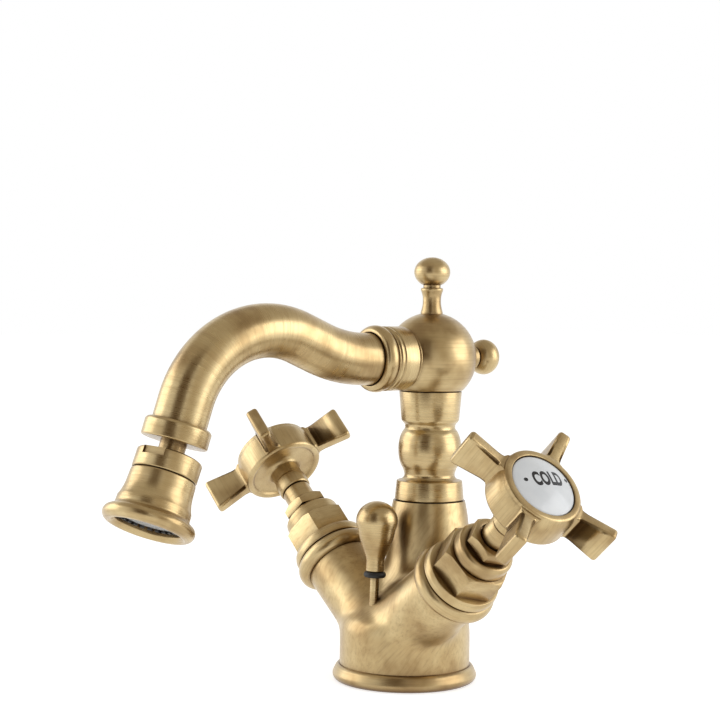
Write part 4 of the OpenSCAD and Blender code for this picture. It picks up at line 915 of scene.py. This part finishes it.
glaze = porcelain_glaze("porcelain_glaze")
enamel = speckled("fired_black_enamel", (0.012, 0.013, 0.016, 1), (0.03, 0.03, 0.034, 1), 0.22, 4000, 0.02)
dome_r = (BUTTON_R ** 2 + BUTTON_DOME ** 2) / 2 / BUTTON_DOME
dome_centre = button_edge + BUTTON_DOME - dome_r
dome_angles = [math.asin((BUTTON_R - 0.6) / dome_r) * (1 - i / 16) for i in range(17)]
button_outline = ([(0, button_low + 0.02, 0), (BUTTON_R - 0.1, button_low + 0.02, 0),
                   (BUTTON_R - 0.1, button_edge, 0.35)]
                  + [(dome_r * math.sin(a), dome_centre + dome_r * math.cos(a), 0) for a in dome_angles])
WORDS = {"hot": ("HOT", -86), "cold": ("COLD", 86)}      # each word and its turn on the button
WORD_H = 6.0
LETTER_SHAPE = (0.70, 1.2, 1)        # the letters are narrow and tall
DOT_OUT = 8.6
DOT_R = 0.72
PRINT_OFF = (1.3, 1.6)   # how far the print sits off the button's middle
ENAMEL_T = 0.07
ENAMEL_IN = 0.04         # how deep it is fused in the glaze


def lettering(word, height, place, turn):
    """A word and two dots laid on the dome, as thin raised enamel, facing out along local Z."""
    curve = bpy.data.curves.new("word", "FONT")
    curve.body = word
    curve.align_x = "CENTER"
    curve.align_y = "CENTER"
    curve.size = height * MM
    curve.offset = 0.045 * height * MM
    curve.space_character = 1.05
    curve.resolution_u = 6
    text = bpy.data.objects.new("word", curve)
    bpy.context.scene.collection.objects.link(text)
    bm = bmesh.new()
    bm.from_mesh(text.to_mesh())
    text.to_mesh_clear()
    bpy.data.objects.remove(text)
    bpy.data.curves.remove(curve)
    bmesh.ops.scale(bm, vec=LETTER_SHAPE, verts=bm.verts)
    middle = sum((v.co.y for v in bm.verts), 0.0) / len(bm.verts)
    bmesh.ops.translate(bm, vec=(0, -middle, 0), verts=bm.verts)
    for spot in (-DOT_OUT, DOT_OUT):
        bmesh.ops.create_circle(bm, cap_ends=True, segments=24, radius=DOT_R * MM,
                                matrix=Matrix.Translation((spot * MM, 0, 0)))
    bmesh.ops.remove_doubles(bm, verts=bm.verts, dist=0.001 * MM)
    bmesh.ops.recalc_face_normals(bm, faces=bm.faces)
    for face in bm.faces:
        if face.normal.z < 0:
            face.normal_flip()
    for i in range(4):
        long = [e for e in bm.edges if e.calc_length() > 0.5 * MM]
        bmesh.ops.subdivide_edges(bm, edges=long, cuts=1)
        bmesh.ops.triangulate(bm, faces=bm.faces)
    rise = bmesh.ops.extrude_face_region(bm, geom=bm.faces[:])["geom"]
    top = [e for e in rise if isinstance(e, bmesh.types.BMVert)]
    bmesh.ops.translate(bm, vec=(0, 0, ENAMEL_T * MM), verts=top)
    bmesh.ops.translate(bm, vec=(PRINT_OFF[0] * MM, PRINT_OFF[1] * MM, 0), verts=bm.verts)
    for vert in bm.verts:
        flat = Vector((vert.co.x, vert.co.y)).length
        vert.co.z += math.sqrt((dome_r * MM) ** 2 - flat ** 2) + dome_centre * MM - ENAMEL_IN * MM
    bmesh.ops.recalc_face_normals(bm, faces=bm.faces)
    bm.transform(place @ Matrix.Rotation(math.radians(turn), 4, "Z"))
    return bm


for side, sign in SIDES.items():
    on_handle = at_handle(sign)
    piece(side + "_porcelain_button", turned(button_outline, on_handle), glaze, side + "_valve",
          [side + "_index_button"])
    word, turn = WORDS[side]
    piece(side + "_enamel_word", lettering(word, WORD_H, on_handle, turn), enamel, side + "_valve",
          ())
dress(dark_steel, "hot_handle_screw", "cold_handle_screw")

# ---- Lift rod and knob --------------------------------------------------
# The pop-up waste's lift rod: a thin brass rod through the body, with a drop-shaped turned knob
# screwed on top and a black rubber ring under it that stops it on the body.
ROD_Y = 14.2
ROD_Z = 28.4
ROD_LEAN = 2
ROD_R = 1.55
ROD_FREE = 9.1           # of the rod under the ring
ROD_BELOW = 21           # of it inside the body
STOP_T = 2.0
KNOB_H = 24.8
KNOB_R = 7.3
KNOB_CROWN = KNOB_R * 0.94           # the height of its round top
KNOB_NECK_R = 3.2
on_rod = Matrix.Translation((0, -ROD_Y * MM, ROD_Z * MM)) @ Matrix.Rotation(math.radians(-ROD_LEAN), 4, "X")
knob_foot = ROD_FREE + STOP_T
knob_ball = knob_foot + KNOB_H - KNOB_CROWN
rod_outline = [(0, -ROD_BELOW, 0), (ROD_R, -ROD_BELOW, 0.2), (ROD_R, knob_foot + 0.5, 0),
               (0, knob_foot + 0.5, 0)]
knob_outline = ([(0, knob_foot, 0), (KNOB_NECK_R - 0.3, knob_foot, 0.1), (KNOB_NECK_R, knob_foot + 0.4, 0.15),
                 (KNOB_NECK_R, knob_foot + 4.6, 0.8), (KNOB_NECK_R + 1.2, knob_foot + 7.6, 2.0),
                 (KNOB_NECK_R + 2.8, knob_foot + 11.6, 1.6)]
                + arc((0, knob_ball), (KNOB_R, KNOB_CROWN), -24, 90, 28))
stop_outline = (arc((KNOB_NECK_R - 0.1, ROD_FREE + STOP_T / 2), (0.8, STOP_T / 2), -90, 90, 12)
                + [(ROD_R, knob_foot, 0), (ROD_R, ROD_FREE, 0)])
rod_brass = turned_brass("brass_lift_rod", on_rod, 0.28)
piece("slim_lift_rod", turned(rod_outline, on_rod), rod_brass, "lift", ["lift_rod"])
piece("drop_knob", turned(knob_outline, on_rod), rod_brass, "lift", ["lift_knob"])
piece("rubber_stop_ring", turned(stop_outline, on_rod, closed=True), rubber, "lift",
      ["lift_knob_ring"])

# ---- Floor, light and camera --------------------------------------------
# A plain pale floor, a white room, one large soft lamp on each side, three cards for reflections
# and a low camera in front of the cold handle.
WHITE = (1, 1, 1, 1)
FLOOR_GLOW = 0.64
ROOM_LIGHT = 0.5


def seen_share(tree):
    """1 where the camera sees a thing straight, in a mirror or through glass, and 0 for its light."""
    path_kind = add(tree, "ShaderNodeLightPath").outputs
    either = add(tree, "ShaderNodeMath", {0: path_kind["Is Camera Ray"], 1: path_kind["Is Glossy Ray"]},
                 operation="MAXIMUM").outputs[0]
    return add(tree, "ShaderNodeMath", {0: either, 1: path_kind["Is Transmission Ray"]},
               operation="MAXIMUM").outputs[0]


floor_bm = bmesh.new()
bmesh.ops.create_grid(floor_bm, x_segments=1, y_segments=1, size=4)
floor = object_of(floor_bm, "floor")
floor_material, floor_tree, floor_main = shader("pale_floor")
floor_main.inputs["Base Color"].default_value = (0.86, 0.86, 0.86, 1)
floor_main.inputs["Roughness"].default_value = 1.0
floor_main.inputs["Specular IOR Level"].default_value = 0.0
glow = add(floor_tree, "ShaderNodeMath", {0: seen_share(floor_tree), 1: FLOOR_GLOW},
           operation="MULTIPLY").outputs[0]
floor_main.inputs["Emission Color"].default_value = WHITE
floor_tree.links.new(glow, floor_main.inputs["Emission Strength"])
floor.data.materials.append(floor_material)

world = bpy.data.worlds.new("white_room")
bpy.context.scene.world = world
world.use_nodes = True
room = world.node_tree
backdrop = room.nodes["Background"]
backdrop.inputs["Color"].default_value = WHITE
strength = rescale(room, seen_share(room), 0, 1, ROOM_LIGHT, 1.0)
room.links.new(strength, backdrop.inputs["Strength"])

TARGET = Vector((0, -0.02, 0.075))   # about the middle of the faucet


def placed(bearing, height, distance):
    """Stands a lamp or card away from the Z axis, at a bearing from the X axis, and faces it to the target."""
    angle = math.radians(bearing)
    spot = Vector((math.cos(angle) * distance, math.sin(angle) * distance, height))
    return Matrix.Translation(spot) @ (TARGET - spot).to_track_quat("-Z", "Y").to_matrix().to_4x4()


def softbox(name, bearing, height, distance, width, tall, watts):
    """A large flat lamp that faces the faucet."""
    light = bpy.data.lights.new(name, "AREA")
    light.shape = "RECTANGLE"
    light.size = width
    light.size_y = tall
    light.energy = watts
    lamp = bpy.data.objects.new(name, light)
    bpy.context.scene.collection.objects.link(lamp)
    lamp.matrix_world = placed(bearing, height, distance)


def card(name, bearing, height, distance, width, tall, colour):
    """A studio card that only reflections see."""
    bm = bmesh.new()
    bmesh.ops.create_grid(bm, x_segments=1, y_segments=1, size=0.5)
    bm.transform(placed(bearing, height, distance) @ Matrix.Diagonal((width, tall, 1, 1)))
    made = object_of(bm, name)
    material, tree, main = shader(name)
    main.inputs["Base Color"].default_value = (0, 0, 0, 1)
    main.inputs["Specular IOR Level"].default_value = 0.0
    main.inputs["Emission Color"].default_value = colour
    main.inputs["Emission Strength"].default_value = 1.0
    made.data.materials.append(material)
    made.visible_camera = False
    made.visible_diffuse = False
    made.visible_shadow = False
    made.visible_transmission = False


# Each lamp and card has its bearing, height, distance and two sizes, then its watts or its colour.
softbox("right_softbox", 45, 0.35, 1.1, 0.9, 0.9, 5.3)
softbox("left_softbox", -140, 0.35, 1.1, 0.9, 0.9, 4.4)
card("front_flag", -58, 0.25, 0.9, 0.62, 1.6, (0.13, 0.085, 0.045, 1))
card("front_grey", -8, 0.3, 1.0, 0.62, 1.6, (0.62, 0.55, 0.45, 1))
card("top_card", 0, 1.2, 0.001, 2.4, 2.4, (0.55, 0.5, 0.43, 1))

CAMERA_FROM = 50.891     # where the camera stands, from straight in front towards the cold side, in degrees
CAMERA_FAR = 0.6536
CAMERA_UP = 0.1388
CAMERA_TURN = 1.499      # how far it looks past the Z axis, in degrees
CAMERA_TILT = 2.237
CAMERA_ROLL = 0.713
FOCAL_PX = 1851
FRAME_PX = 720
stood = math.radians(CAMERA_FROM)
looking = math.radians(CAMERA_FROM + CAMERA_TURN)
forward = Vector((-math.sin(looking), math.cos(looking), 0))
across = Vector((math.cos(looking), math.sin(looking), 0))
tilt = math.radians(CAMERA_TILT)
roll = math.radians(CAMERA_ROLL)
ahead = forward * math.cos(tilt) - Vector((0, 0, 1)) * math.sin(tilt)
above = Vector((0, 0, 1)) * math.cos(tilt) + forward * math.sin(tilt)
right = across * math.cos(roll) + above * math.sin(roll)
top = -across * math.sin(roll) + above * math.cos(roll)
lens = bpy.data.cameras.new("camera")
lens.sensor_width = 36
lens.lens = FOCAL_PX / FRAME_PX * lens.sensor_width
lens.clip_start = 0.01
lens.clip_end = 20
camera = bpy.data.objects.new("camera", lens)
bpy.context.scene.collection.objects.link(camera)
camera_spot = Matrix.Translation((CAMERA_FAR * math.sin(stood), -CAMERA_FAR * math.cos(stood), CAMERA_UP))
camera.matrix_world = camera_spot @ Matrix((right, top, -ahead)).transposed().to_4x4()
bpy.context.scene.camera = camera
bpy.context.scene.view_settings.view_transform = "Standard"
